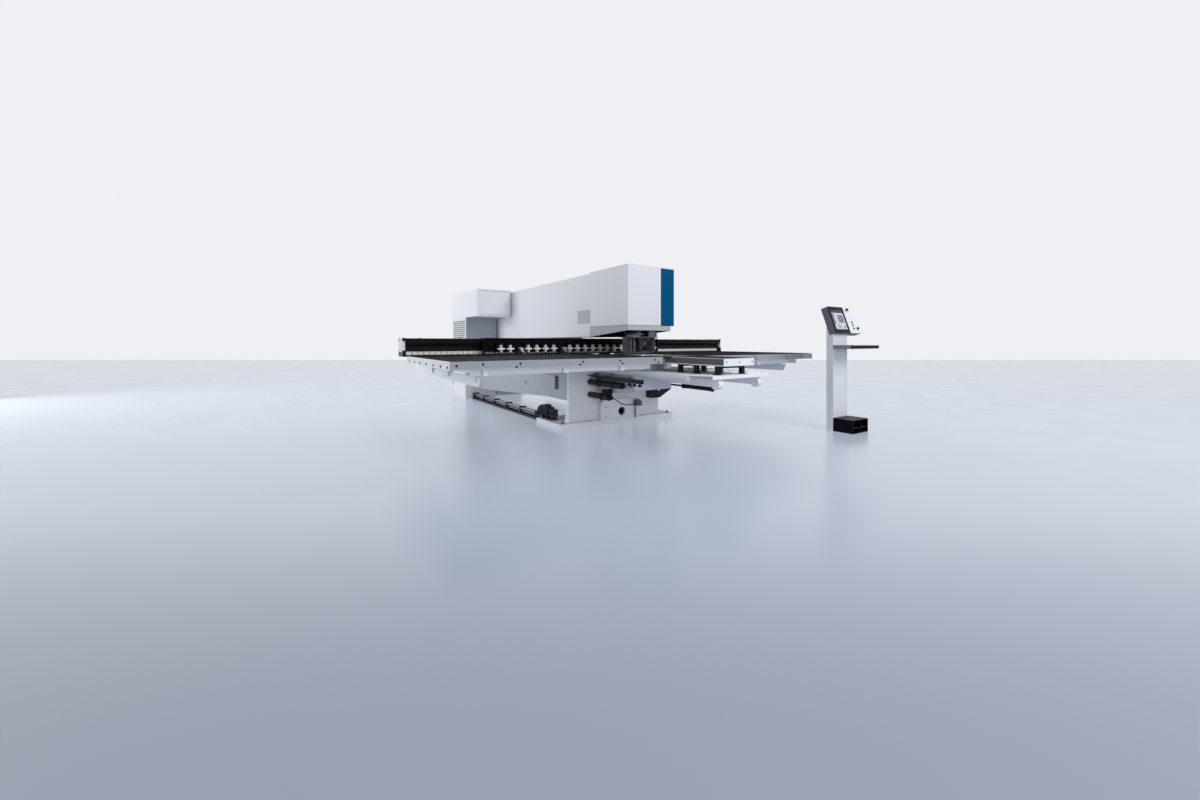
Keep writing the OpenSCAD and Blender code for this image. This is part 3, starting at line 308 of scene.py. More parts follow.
def cap_screw(radius: float, height: float) -> Shape:
    """Makes a socket-head cap screw's head that stands on Z 0.

    Args:
        radius: Radius of the head.
        height: Height of the head.

    Returns:
        A turned profile with a chamfered rim and a sunk socket.
    """
    return lathe([(radius, 0), (radius, height * 0.85), (radius * 0.88, height),
                  (radius * 0.52, height), (radius * 0.5, height * 0.4)], 12)


def grid_places(xs: np.ndarray, ys: np.ndarray, zs: np.ndarray) -> np.ndarray:
    """Returns every combination of the x, y and z values, one row each."""
    return np.stack(np.meshgrid(xs, ys, zs, indexing="ij"), -1).reshape(-1, 3)


class Grain(Enum):
    """How a surface is structured: each value names its shader node group."""

    PEEL = "powder_coat_skin"
    BRUSHED = "brushed_metal"
    MOULDED = "moulded_plastic"


class Graph:
    """Adds nodes and links to one shader node tree."""

    def __init__(self, tree: bpy.types.NodeTree) -> None:
        """Keeps the tree that nodes are added to."""
        self.tree = tree

    def node(self, kind: str, inputs: dict | None = None, **settings: object) -> bpy.types.Node:
        """Adds a node.

        Args:
            kind: The node's type name.
            inputs: Socket name or number against a value or the socket to link from.
            **settings: Other properties of the node.

        Returns:
            The new node.
        """
        made = self.tree.nodes.new(kind)
        for key, value in settings.items():
            setattr(made, key, value)
        for key, value in (inputs or {}).items():
            if isinstance(value, bpy.types.NodeSocket):
                self.tree.links.new(value, made.inputs[key])
            else:
                made.inputs[key].default_value = value
        return made

    def math(self, operation: str, *values: object, clamp: bool = False) -> bpy.types.NodeSocket:
        """Adds a Math node.

        Args:
            operation: The node's operation.
            *values: Numbers, or sockets to link from.
            clamp: Whether the result is held between 0 and 1.

        Returns:
            The result's socket.
        """
        made = self.node("ShaderNodeMath", dict(enumerate(values)), operation=operation)
        made.use_clamp = clamp
        return made.outputs[0]

    def mix(self, factor: object, first: object, second: object) -> bpy.types.NodeSocket:
        """Adds a colour Mix node and returns its result."""
        inputs = {0: factor, 6: first, 7: second}
        return self.node("ShaderNodeMix", inputs, data_type="RGBA").outputs[2]

    def noise(self, where: object, scale: float, detail: float = 2.0) -> bpy.types.NodeSocket:
        """Adds a Noise texture and returns its value."""
        inputs = {"Vector": where, "Scale": scale, "Detail": detail}
        return self.node("ShaderNodeTexNoise", inputs).outputs[0]

    def place(self, stretch: tuple[float, float, float] = (1, 1, 1)) -> bpy.types.NodeSocket:
        """Adds the nodes for Object coordinates.

        Args:
            stretch: Factors on x, y and z.

        Returns:
            The coordinates' socket.
        """
        at = self.node("ShaderNodeTexCoord").outputs["Object"]
        if stretch == (1, 1, 1):
            return at
        return self.node("ShaderNodeMapping", {"Vector": at, "Scale": stretch}).outputs[0]


def new_group(name: str, inputs: dict[str, object], outputs: dict[str, str],
              ) -> tuple[Graph, bpy.types.Node, bpy.types.Node]:
    """Starts a shader node group.

    Args:
        name: Name of the group.
        inputs: Socket name against its default, a number or a colour.
        outputs: Socket name against its type, Float or Color.

    Returns:
        The graph to build in, the group's input node and its output node.
    """
    tree = bpy.data.node_groups.new(name, "ShaderNodeTree")
    for key, default in inputs.items():
        kind = "NodeSocketFloat" if isinstance(default, float) else "NodeSocketColor"
        socket = tree.interface.new_socket(key, in_out="INPUT", socket_type=kind)
        socket.default_value = default
    for key, kind in outputs.items():
        tree.interface.new_socket(key, in_out="OUTPUT", socket_type="NodeSocket" + kind)
    graph = Graph(tree)
    return graph, graph.node("NodeGroupInput"), graph.node("NodeGroupOutput")


SURFACE_OUT = {"Color": "Color", "Roughness": "Float", "Height": "Float"}
SURFACE_IN = {"Color": (0.5, 0.5, 0.5, 1.0), "Roughness": 0.4, "Variation": 0.03, "Dust": 0.1}
DUST_COLOR = (0.46, 0.45, 0.43, 1.0)


def dust_group() -> None:
    """Builds the dust mask: the share of a face that looks up, times a soft noise."""
    graph, start, end = new_group("fallen_dust", {"Amount": 0.1}, {"Mask": "Float"})
    normal = graph.node("ShaderNodeNewGeometry").outputs["Normal"]
    up = graph.node("ShaderNodeSeparateXYZ", {0: normal}).outputs["Z"]
    flat = graph.math("POWER", graph.math("MAXIMUM", up, 0.0), 3.0)
    patch = graph.noise(graph.place(), 2.3, 4.0)
    veil = graph.math("MULTIPLY", flat, graph.math("MULTIPLY_ADD", patch, 1.4, -0.1))
    graph.tree.links.new(graph.math("MULTIPLY", veil, start.outputs[0], clamp=True), end.inputs[0])


def surface_group(grain: Grain, tone_scale: float, stretch: tuple[float, float, float],
                  grain_scale: float) -> None:
    """Builds one surface group: tone, roughness and height that change over the surface.

    The tone is the colour times 1 plus Variation times a soft noise from -1 to 1. Dust
    mixes it towards grey and roughens it. The height is a fine noise, stretched for a
    brushed metal.

    Args:
        grain: The structure the group is for.
        tone_scale: Patches of tone in each metre.
        stretch: Factors on the coordinates before the fine noise.
        grain_scale: Grains in each metre.
    """
    graph, start, end = new_group(grain.value, SURFACE_IN, SURFACE_OUT)
    color, rough, vary, dust = [start.outputs[key] for key in SURFACE_IN]
    soft = graph.math("MULTIPLY_ADD", graph.noise(graph.place(), tone_scale, 3.0), 2.0, -1.0)
    fine = graph.noise(graph.place(stretch), grain_scale, 2.0)
    streak = graph.math("MULTIPLY_ADD", fine, 2.0, -1.0)
    wave = streak if grain is Grain.BRUSHED else soft
    factor = graph.math("MULTIPLY_ADD", wave, vary, 1.0)
    toned = graph.node("ShaderNodeVectorMath", {0: color, 3: factor}, operation="SCALE").outputs[0]
    mask = graph.node("ShaderNodeGroup", {}, node_tree=bpy.data.node_groups["fallen_dust"])
    graph.tree.links.new(dust, mask.inputs[0])
    mixed = graph.mix(mask.outputs[0], toned, DUST_COLOR)
    spread = graph.math("MULTIPLY_ADD", wave, 0.05, rough)
    rougher = graph.math("MULTIPLY_ADD", mask.outputs[0], 0.5, spread)
    for socket, key in ((mixed, "Color"), (rougher, "Roughness"), (fine, "Height")):
        graph.tree.links.new(socket, end.inputs[key])


def linear(color: tuple[int, int, int]) -> tuple[float, float, float, float]:
    """Turns a screen colour of 0 to 255 into the linear colour that shaders use.

    Args:
        color: Red, green and blue as a screen shows them.

    Returns:
        Each channel over 255 by the sRGB curve, and an alpha of 1.
    """
    part = np.array(color) / 255
    out = np.where(part < 0.0405, part / 12.92, ((part + 0.055) / 1.055) ** 2.4)
    return (*[float(v) for v in out], 1.0)


@dataclass(frozen=True)
class Finish:
    """One finish of the machine.

    Attributes:
        name: Name of the material.
        color: Screen colour, 0 to 255.
        roughness: Roughness of the surface.
        metallic: 1 for bare metal.
        grain: Structure of the surface.
        variation: How far the tone wanders, as a share.
        dust: How much dust lies on faces that look up.
        relief: Height of the grain in metres.
        coat: Weight of a clear coat.
        gloss: Level of the mirror reflection; 0.5 is common paint.
        glow: Strength of its own light.
    """

    name: str
    color: tuple[int, int, int]
    roughness: float = 0.42
    metallic: float = 0.0
    grain: Grain = Grain.PEEL
    variation: float = 0.02
    dust: float = 0.06
    relief: float = 0.00002
    coat: float = 0.0
    gloss: float = 0.35
    glow: float = 0.0

    def material(self) -> bpy.types.Material:
        """Returns the finish's material, made on first use."""
        own_name = self.name + "_finish"
        found = bpy.data.materials.get(own_name)
        if found:
            return found
        made = bpy.data.materials.new(own_name)
        made.use_nodes = True
        made.node_tree.nodes.clear()
        graph = Graph(made.node_tree)
        shader = graph.node("ShaderNodeBsdfPrincipled", {"Metallic": self.metallic})
        self.skin(graph, shader)
        shader.inputs["Specular IOR Level"].default_value = self.gloss
        shader.inputs["Coat Weight"].default_value = self.coat
        shader.inputs["Coat Roughness"].default_value = 0.08
        if self.glow:
            shader.inputs["Emission Color"].default_value = linear(self.color)
            shader.inputs["Emission Strength"].default_value = self.glow
        graph.node("ShaderNodeOutputMaterial", {"Surface": shader.outputs[0]})
        return made

    def skin(self, graph: Graph, shader: bpy.types.Node) -> None:
        """Feeds the shader's colour, roughness and normal from the surface group.

        Args:
            graph: The material's graph.
            shader: Its Principled BSDF.
        """
        group = graph.node("ShaderNodeGroup", node_tree=bpy.data.node_groups[self.grain.value])
        values = {"Color": linear(self.color), "Roughness": self.roughness,
                  "Variation": self.variation, "Dust": self.dust}
        for key, value in values.items():
            group.inputs[key].default_value = value
        bump = graph.node("ShaderNodeBump", {"Height": group.outputs["Height"],
                                             "Distance": self.relief})
        graph.tree.links.new(group.outputs["Color"], shader.inputs["Base Color"])
        graph.tree.links.new(group.outputs["Roughness"], shader.inputs["Roughness"])
        graph.tree.links.new(bump.outputs[0], shader.inputs["Normal"])


@dataclass(frozen=True)
class Glass(Finish):
    """A dark glossy pane.

    Attributes:
        smear_scale: Smears in each metre.
        smear: How much a smear roughens the pane.
    """

    smear_scale: float = 14.0
    smear: float = 0.12

    def skin(self, graph: Graph, shader: bpy.types.Node) -> None:
        """Sets a plain colour, and a roughness that faint smears raise.

        Args:
            graph: The material's graph.
            shader: Its Principled BSDF.
        """
        shader.inputs["Base Color"].default_value = linear(self.color)
        smears = graph.noise(graph.place(), self.smear_scale, 4.0)
        rough = graph.math("MULTIPLY_ADD", smears, self.smear, self.roughness)
        graph.tree.links.new(rough, shader.inputs["Roughness"])


@dataclass(frozen=True)
class EndCap(Finish):
    """A pale cap with dark rubber corners and a dark foot.

    Attributes:
        middle: The y and z of the cap's centre.
        inner: Half the width and height of the pale middle.
        foot_z: Height below which the cap is dark.
        dark: Screen colour of the rubber.
    """

    middle: tuple[float, float] = (0.410, 1.075)
    inner: tuple[float, float] = (0.085, 0.055)
    foot_z: float = 1.0
    dark: tuple[int, int, int] = (26, 26, 29)

    def skin(self, graph: Graph, shader: bpy.types.Node) -> None:
        """Darkens what lies beyond the pale middle in both directions, or below it.

        Each distance from the centre is compared with its half size, and the product of
        the two answers marks the corners.

        Args:
            graph: The material's graph.
            shader: Its Principled BSDF.
        """
        super().skin(graph, shader)
        parts = graph.node("ShaderNodeSeparateXYZ", {0: graph.place()})
        far = []
        for index in (0, 1):
            away = graph.math("SUBTRACT", parts.outputs[index + 1], self.middle[index])
            far.append(graph.math("GREATER_THAN", graph.math("ABSOLUTE", away), self.inner[index]))
        foot = graph.math("LESS_THAN", parts.outputs[2], self.foot_z)
        corner = graph.math("MAXIMUM", graph.math("MULTIPLY", far[0], far[1]), foot)
        pale = shader.inputs["Base Color"].links[0].from_socket
        tone = graph.mix(corner, pale, linear(self.dark))
        graph.tree.links.new(tone, shader.inputs["Base Color"])


@dataclass(frozen=True)
class LitFloor(Finish):
    """A pale studio floor with painted light: its own glow, which rises towards the back wall,
    stands in for the wall's reflection and keeps the floor bright under the machine.

    Attributes:
        start_at: The x and y that distances are measured from.
        ahead: The direction to the back wall.
        near_far: Distances, in metres, where the light starts and stops rising.
        light: The floor's own light at those distances.
        glow_color: Screen colour of that light.
    """

    start_at: tuple[float, float] = (-3.730, -5.480)
    ahead: tuple[float, float] = (0.5505, 0.8348)
    near_far: tuple[float, float] = (1.2, 3.2)
    light: tuple[float, float] = (0.70, 1.4)
    glow_color: tuple[int, int, int] = (116, 121, 128)

    def skin(self, graph: Graph, shader: bpy.types.Node) -> None:
        """Feeds the shader's own light, a painted glow, by the distance towards the back wall.

        The distance is the dot product of the place, less the start, with the direction,
        and the light goes from the first value to the second along it.

        Args:
            graph: The material's graph.
            shader: Its Principled BSDF.
        """
        super().skin(graph, shader)
        start = sum(a * b for a, b in zip(self.start_at, self.ahead))
        dot = graph.node("ShaderNodeVectorMath", {0: graph.place(), 1: (*self.ahead, 0.0)},
                         operation="DOT_PRODUCT").outputs["Value"]
        inputs = {"Value": graph.math("SUBTRACT", dot, start), "From Min": self.near_far[0],
                  "From Max": self.near_far[1], "To Min": self.light[0], "To Max": self.light[1]}
        rise = graph.node("ShaderNodeMapRange", inputs, interpolation_type="SMOOTHSTEP")
        # Painted light: the floor's glow, rising towards the back wall.
        shader.inputs["Emission Color"].default_value = linear(self.glow_color)
        graph.tree.links.new(rise.outputs[0], shader.inputs["Emission Strength"])


@dataclass(frozen=True)
class Bristles(Finish):
    """Brush strips seen from above: dark rows of tufts in a paler strip.

    Attributes:
        rim: Darkness at a tuft's centre, and its loss in each metre from there.
        hair_scale: Bristles in each metre.
        hair_tone: How much a bristle changes the tone.
        hair_rough: How much it changes the roughness.
        hair_height: Height of the bristles' relief in metres.
        dark: Share of the colour that is left where it is darkest.
    """

    rim: tuple[float, float] = (1.1, -60.0)
    hair_scale: float = 900.0
    hair_tone: float = 0.25
    hair_rough: float = 0.1
    hair_height: float = 0.0004
    dark: float = 0.55

    def skin(self, graph: Graph, shader: bpy.types.Node) -> None:
        """Darkens rings around each tuft and gives the bristles a fine height.

        The distance to the nearest tuft is the length of x and y, each wrapped from -half
        to half of the pitch, and the tone falls off near a tuft's rim.

        Args:
            graph: The material's graph.
            shader: Its Principled BSDF.
        """
        parts = graph.node("ShaderNodeSeparateXYZ", {0: graph.place()})
        half = TUFT_PITCH / 2
        wrapped = [graph.math("WRAP", parts.outputs[i], half, -half) for i in (0, 1)]
        away = graph.node("ShaderNodeCombineXYZ", {0: wrapped[0], 1: wrapped[1]}).outputs[0]
        length = graph.node("ShaderNodeVectorMath", {0: away}, operation="LENGTH").outputs[1]
        rim = graph.math("MULTIPLY_ADD", length, self.rim[1], self.rim[0], clamp=True)
        hair = graph.noise(graph.place(), self.hair_scale, 2.0)
        shade = graph.math("MULTIPLY_ADD", hair, self.hair_tone, rim, clamp=True)
        dark = linear(tuple(int(v * self.dark) for v in self.color))
        tone = graph.mix(shade, linear(self.color), dark)
        bump = graph.node("ShaderNodeBump", {"Height": hair, "Distance": self.hair_height})
        graph.tree.links.new(tone, shader.inputs["Base Color"])
        graph.tree.links.new(bump.outputs[0], shader.inputs["Normal"])
        spread = graph.math("MULTIPLY_ADD", hair, self.hair_rough, self.roughness)
        graph.tree.links.new(spread, shader.inputs["Roughness"])


class Palette:
    """Every finish on the machine and its console."""

    WHITE = Finish("white_powder_coat", (228, 230, 235), 0.40, relief=0.00004)
    FRAME = Finish("frame_paint", (205, 208, 216), 0.46, variation=0.03, relief=0.00008)
    COVER = Finish("cover_sheet_paint", (223, 225, 231), 0.38, relief=0.00003)
    SKIRT = Finish("skirt_paint", (180, 183, 192), 0.40, relief=0.00003)
    BLUE = Finish("blue_casing_paint", (3, 78, 122), 0.5, dust=0.0, relief=0.00003, gloss=0.1)
    # A darker grey of the white paint, as painted shade: side panels and junction box under the
    # tables, and the cabinet front under the overhead box.
    SIDE_SHADE = Finish("side_sheet_paint", (166, 170, 179), 0.42, relief=0.00004)
    # Pale plate: the bare plate on the arm, and also painted shade along the console post's folds.
    PLATE_AND_SHADE = Finish("pale_plate", (182, 186, 192), 0.4)
    # Grey of painted shade on the white front aprons.
    APRON = Finish("grey_apron_paint", (152, 156, 166), 0.42)
    # Lead grey paint of the slide strips and the stripper, and also painted shade on the front
    # table's left side.
    LEAD_AND_SHADE = Finish("lead_grey_paint", (84, 87, 96), 0.5, gloss=0.2)
    GRILLE = Finish("grille_paint", (214, 217, 223), 0.4)
    DARK = Finish("dark_grey_paint", (46, 47, 53), 0.5, gloss=0.2)
    BLACK = Finish("black_paint", (14, 14, 17), 0.42, dust=0.02, gloss=0.3)
    TABLE = Finish("table_paint", (228, 231, 236), 0.38, relief=0.00003)
    RAIL = Finish("rail_paint", (26, 26, 29), 0.4, dust=0.01, gloss=0.3)
    SHADOW = Finish("deep_shadow_gap", (10, 10, 13), 0.9, dust=0.0, gloss=0.05)
    STEEL = Finish("bright_steel", (186, 188, 192), 0.28, 1.0, Grain.BRUSHED, 0.05, 0.0, 0.00002)
    PIPE = Finish("zinc_pipe", (160, 163, 170), 0.34, 1.0, Grain.BRUSHED, 0.06, 0.05, 0.00002)
    TOOL = Finish("tool_steel", (132, 134, 140), 0.3, 1.0, Grain.BRUSHED, 0.08, 0.0, 0.00002)
    BOLT = Finish("black_oxide_screw", (38, 38, 42), 0.4, 0.6, Grain.MOULDED)
    ZINC = Finish("zinc_screw", (176, 178, 182), 0.32, 1.0, Grain.MOULDED)
    ALUMINIUM = Finish("cast_aluminium", (196, 198, 203), 0.38, 1.0, Grain.BRUSHED, 0.05, 0.04)
    CASSETTE = Finish("cassette_metal", (232, 233, 235), 0.5, 0.0, Grain.BRUSHED, 0.04, 0.0)
    BRUSH = Bristles("table_bristles", (40, 39, 41), 0.62, gloss=0.2)
    TUFT = Finish("bristle_tuft", (18, 17, 19), 0.7, grain=Grain.MOULDED, relief=0.0004, gloss=0.1)
    ROLLER = Finish("roller_plastic", (216, 216, 213), 0.45, grain=Grain.MOULDED)
    RUBBER = Finish("black_rubber", (24, 24, 26), 0.68, grain=Grain.MOULDED, relief=0.0001)
    CONSOLE = Finish("console_paint", (214, 217, 224), 0.40, relief=0.00003)
    HOUSING = Finish("housing_paint", (104, 106, 121), 0.42, relief=0.00003, gloss=0.25)
    PANEL = Finish("panel_paint", (224, 226, 231), 0.36)
    BEZEL = Finish("bezel_plastic", (11, 11, 14), 0.4, grain=Grain.MOULDED, gloss=0.2)
    SCREEN = Glass("screen_glass", (10, 10, 14), 0.1, coat=0.2)
    SHELF = Finish("shelf_paint", (122, 127, 138), 0.45, gloss=0.25)
    REST = Finish("palm_rest_rubber", (17, 17, 20), 0.6, grain=Grain.MOULDED, gloss=0.15)
    FOOT_BOX = Finish("foot_box_paint", (5, 6, 11), 0.45, dust=0.0, gloss=0.12)
    RED = Finish("stop_red", (132, 16, 18), 0.34, grain=Grain.MOULDED, coat=0.1)
    YELLOW = Finish("stop_yellow", (226, 184, 20), 0.34, grain=Grain.MOULDED)
    BUTTON = Finish("button_plastic", (44, 45, 50), 0.34, grain=Grain.MOULDED)
    KEY = Finish("key_plastic", (58, 60, 66), 0.46, grain=Grain.MOULDED)
    LIT_PAGE = Finish("lit_page", (172, 173, 176), 0.4, glow=0.42)
    LIT_HEADER = Finish("lit_header", (52, 48, 92), 0.4, glow=0.4)
    LIT_GREY = Finish("lit_grey", (98, 98, 120), 0.4, glow=0.4)
    LIT_DARK = Finish("lit_dark", (26, 26, 34), 0.4, glow=0.3)
    LIT_GREEN = Finish("lit_green", (72, 124, 86), 0.4, glow=0.4)
    FLOOR = LitFloor("pale_floor", (112, 120, 137), 0.24, variation=0.012, dust=0.0, relief=0.0,
                     gloss=0.55)
    END_CAP = EndCap("cap_paint", (214, 217, 222), 0.4)


def mesh_of(name: str, shape: Shape) -> bpy.types.Mesh:
    """Puts a shape into a mesh: corner lists end to end, and where each face starts.

    Args:
        name: Name of the mesh.
        shape: The shape.

    Returns:
        The mesh, smooth apart from its sharp edges.
    """
    mesh = bpy.data.meshes.new(name)
    corners = np.concatenate([f.ravel() for f in shape.faces]).astype(np.int32)
    sizes = np.concatenate([np.full(len(f), f.shape[1]) for f in shape.faces])
    starts = (np.cumsum(sizes) - sizes).astype(np.int32)
    mesh.vertices.add(len(shape.points))
    mesh.vertices.foreach_set("co", shape.points.astype(np.float32).ravel())
    mesh.loops.add(len(corners))
    mesh.loops.foreach_set("vertex_index", corners)
    mesh.polygons.add(len(sizes))
    mesh.polygons.foreach_set("loop_start", starts)
    mesh.update(calc_edges=True)
    mesh.validate()
    mesh.shade_smooth()
    mesh.set_sharp_from_angle(angle=math.radians(SHARP_ANGLE))
    return mesh


@dataclass
class Assembly:
    """A sub-assembly: CAD nodes with their finishes, and the fine pieces on them.

    Attributes:
        NODES: CAD nodes against their finishes.
        frame: The loaded CAD frame.
    """

    NODES: ClassVar[dict[str, Finish]] = {}

    frame: dict

    def dress(self) -> None:
        """Puts each CAD node's finish on it."""
        for name, finish in self.NODES.items():
            mesh = self.frame["nodes"][name].data
            mesh.materials.clear()
            mesh.materials.append(finish.material())
        LOG.info("%s: %d CAD nodes finished", type(self).__name__, len(self.NODES))

    def build(self) -> None:
        """Adds the fine pieces; each sub-assembly has its own."""

    def add(self, name: str, shape: Shape, finish: Finish, slot: str,
            body: Body = Body.MACHINE) -> bpy.types.Object:
        """Adds one piece.

        Args:
            name: Name of the piece.
            shape: Its form, in the shared frame.
            finish: Its finish.
            slot: The record's material slot that it belongs to; not used.
            body: The CAD body that it rides on.

        Returns:
            The new object, at the origin, unturned and unscaled.
        """
        piece = bpy.data.objects.new(name, mesh_of(name, shape))
        piece.data.materials.append(finish.material())
        bpy.context.scene.collection.objects.link(piece)
        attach(piece, body.value)
        LOG.info("%s: %s, %d faces", type(self).__name__, name, len(piece.data.polygons))
        return piece


class Head(Enum):
    """Socket heads of the machine's screws, each with its radius and height in metres."""

    PANEL = (0.004, 0.0015)
    STRIPPER = (0.0045, 0.004)
    FOOT_BOX = (0.005, 0.0004)
    SMALL = (0.005, 0.002)
    CASSETTE = (0.005, 0.003)
    GUIDE_BAR = (0.006, 0.0004)
    SHEET = (0.006, 0.003)
    BLOCK = (0.006, 0.004)
    PUMP = (0.006, 0.005)
    COVER = (0.007, 0.003)
    TABLE = (0.007, 0.004)
    NECK = (0.007, 0.005)
    SIDE_SHEET = (0.009, 0.005)
    PIVOT = (0.010, 0.003)
    APRON = (0.010, 0.005)
    RAIL = (0.010, 0.006)
    BRACKET = (0.010, 0.007)
    APRON_END = (0.012, 0.005)
    PLUG = (0.014, 0.004)


def screws(places: list | np.ndarray, axis: Axis, head: Head, reverse: bool = False) -> Shape:
    """Makes socket-head screws.

    Args:
        places: Centres of the heads' seats.
        axis: The direction that the heads stand out.
        head: The size of a head.
        reverse: Whether they stand out the negative way.

    Returns:
        All heads as one shape.
    """
    return cap_screw(*head.value).along(axis, reverse).repeated(np.array(places, float))


def inset(span: tuple[float, float], margin: float) -> tuple[float, float]:
    """Returns a span with both its ends moved in by the margin."""
    return span[0] + margin, span[1] - margin


def line_y(x: float, ys: list[float], z: float) -> list[tuple[float, float, float]]:
    """Returns points at the y values, all at one x and z."""
    return [(x, y, z) for y in ys]


def line_z(x: float, y: float, zs: list[float]) -> list[tuple[float, float, float]]:
    """Returns points at the z values, all at one x and y."""
    return [(x, y, z) for z in zs]


def sum_of(shapes: list[Shape]) -> Shape:
    """Returns several shapes as one."""
    return reduce(operator.add, shapes)


def slot_hole(length: float, width: float, depth: float) -> Shape:
    """Makes a plate in the form of a slot: two half circles joined by straight sides.

    Args:
        length: Overall length along X.
        width: Width along Y.
        depth: Thickness along Z.

    Returns:
        A prism whose corner angles run once round, offset by half the straight length.
    """
    turn = (np.arange(16) + 0.5) * 2 * np.pi / 16
    side = np.sign(np.cos(turn)) * (length - width) / 2
    outline = np.stack([side + np.cos(turn) * width / 2, np.sin(turn) * width / 2], 1)
    return prism([tuple(p) for p in outline], depth)


@dataclass
class HeadAndArm(Assembly):
    """The sheet-metal covers of the arm and the head, with the blue corner casing.

    Attributes:
        left_x: The arm's left side.
        right_x: The arm's right side.
        arm_top: Height of the arm's top sheet.
        arm_low: Height where the seams of the right side begin.
        arm_seams: The y of the seams between the arm's cover sheets.
        plate_y: First and last y of the bare plate.
        plate_z: Its lowest and highest z.
        plate_margin: Distance of its screws from its edges.
        head_left_x: The head's left side.
        head_right_x: Right edge of the painted shade under the skirt.
        head_front_y: The head's front.
        head_back_y: The head's back.
        head_seam_z: Height of the seam round the head.
        head_seam_x: Place of the upright seam beside the blue casing.
        head_top: Height of the cover's upper edge.
        skirt_front_z: Height of the skirt's lower face at the front.
        skirt_fall: How far that face falls to the back.
        opening_x: Half the width of the neck's opening in the skirt.
        opening_y: First and last y of that opening.
        casing_x: Right side of the blue casing.
        casing_seams: The y of its two seams.
        casing_z: Lowest and highest z of those seams.
        seam: Width of a seam.
        screw_z: Height of the row of screws along the arm.
    """

    left_x: float = -0.360
    right_x: float = 0.306
    arm_top: float = 2.070
    arm_low: float = 1.220
    arm_seams: tuple[float, ...] = (1.30, 2.70)
    plate_y: tuple[float, float] = (-0.113, 0.216)
    plate_z: tuple[float, float] = (1.384, 1.570)
    plate_margin: float = 0.018
    head_left_x: float = -0.374
    head_right_x: float = 0.317
    head_front_y: float = -1.015
    head_back_y: float = -0.139
    head_seam_z: float = 1.330
    head_seam_x: float = 0.156
    head_top: float = 2.068
    skirt_front_z: float = 1.267
    skirt_fall: float = 0.075
    opening_x: float = 0.191
    opening_y: tuple[float, float] = (-0.941, -0.639)
    casing_x: float = 0.374
    casing_seams: tuple[float, ...] = (-0.72, -0.43)
    casing_z: tuple[float, float] = (1.345, 2.055)
    seam: float = 0.004
    screw_z: float = 1.222

    NODES = {"arm_cover": Palette.COVER, "head_cover": Palette.COVER,
             "head_skirt": Palette.SKIRT, "accent_casing": Palette.BLUE}

    def build(self) -> None:
        """Adds the bare plate, painted shade under the skirt, the seams and the cover screws."""
        self.plate()
        self.underside()
        self.arm_cover_seams()
        self.head_seams()
        self.cover_screws()

    def plate(self) -> None:
        """Adds the bare pale plate on the arm's left side, held by four screws."""
        face, sunk = self.left_x - 0.0025, self.left_x + 0.0005
        sheet = box((face, self.plate_y[0], self.plate_z[0]), (sunk, self.plate_y[1],
                                                               self.plate_z[1]))
        self.add("arm_side_plate", sheet, Palette.PLATE_AND_SHADE, "cover_paint")
        corners = grid_places([face], inset(self.plate_y, self.plate_margin),
                              inset(self.plate_z, self.plate_margin))
        self.add("arm_side_plate_screws", screws(corners, Axis.X, Head.SHEET, True),
                 Palette.ZINC, "cover_paint")

    def underside(self) -> None:
        """Adds painted shade under the skirt: thin dark sheets, sloped like it, around the neck's
        opening.

        The skirt's lower face falls from its front to its back, so a sheet's height is read
        off that line at both its ends.
        """
        thick, proud = 0.001, 0.0012
        front, back = self.head_front_y + 0.003, self.head_back_y - 0.002
        left, right = self.head_left_x + 0.003, self.head_right_x
        near, far = self.opening_y
        sheets = [(left, front, right, near), (left, near, -self.opening_x, far),
                  (self.opening_x, near, right, far), (left, far, right, back)]
        wedges = []
        for x0, y0, x1, y1 in sheets:
            low, high = proud - self.skirt_low(y0), proud - self.skirt_low(y1)
            outline = [(low - thick, y0), (low, y0), (high, y1), (high - thick, y1)]
            wedges.append(prism(outline, x1 - x0).along(Axis.X).moved(x0))
        # Painted shade: dark sheets for the shaded inside of the open skirt.
        self.add("skirt_underside", sum_of(wedges), Palette.SHADOW, "cover_paint")

    def skirt_low(self, y: float) -> float:
        """Returns the height of the skirt's lower face at y."""
        share = (y - self.head_front_y) / (self.head_back_y - self.head_front_y)
        return self.skirt_front_z - self.skirt_fall * share

    def arm_cover_seams(self) -> None:
        """Adds dark seams over the arm's top and down its right side."""
        half, end = self.seam / 2, 0.01
        strips = []
        for y in self.arm_seams:
            strips.append(box((self.left_x + end, y - half, self.arm_top),
                              (self.right_x - end, y + half, self.arm_top + HAIR)))
            strips.append(box((self.right_x, y - half, self.arm_low),
                              (self.right_x + HAIR, y + half, self.arm_top - end)))
        self.add("arm_cover_seams", sum_of(strips), Palette.SHADOW, "dark_paint")

    def head_seams(self) -> None:
        """Adds the seam round the head, the one beside the casing and the casing's own."""
        half, front, left = self.seam / 2, self.head_front_y, self.head_left_x
        low, high = self.head_seam_z - half, self.head_seam_z + half
        seams = [
            box((left + 0.002, front - HAIR, low), (self.head_seam_x, front + HAIR, high)),
            box((left - HAIR, front + 0.002, low), (left + HAIR, self.head_back_y - 0.004, high)),
            box((self.head_seam_x - half, front - HAIR, self.head_seam_z),
                (self.head_seam_x + half, front + HAIR, self.head_top)),
        ]
        self.add("head_seams", sum_of(seams), Palette.SHADOW, "dark_paint")
        casing = [box((self.casing_x, y - half, self.casing_z[0]),
                      (self.casing_x + HAIR, y + half, self.casing_z[1]))
                  for y in self.casing_seams]
        self.add("casing_seams", sum_of(casing), Palette.SHADOW, "blue_paint")

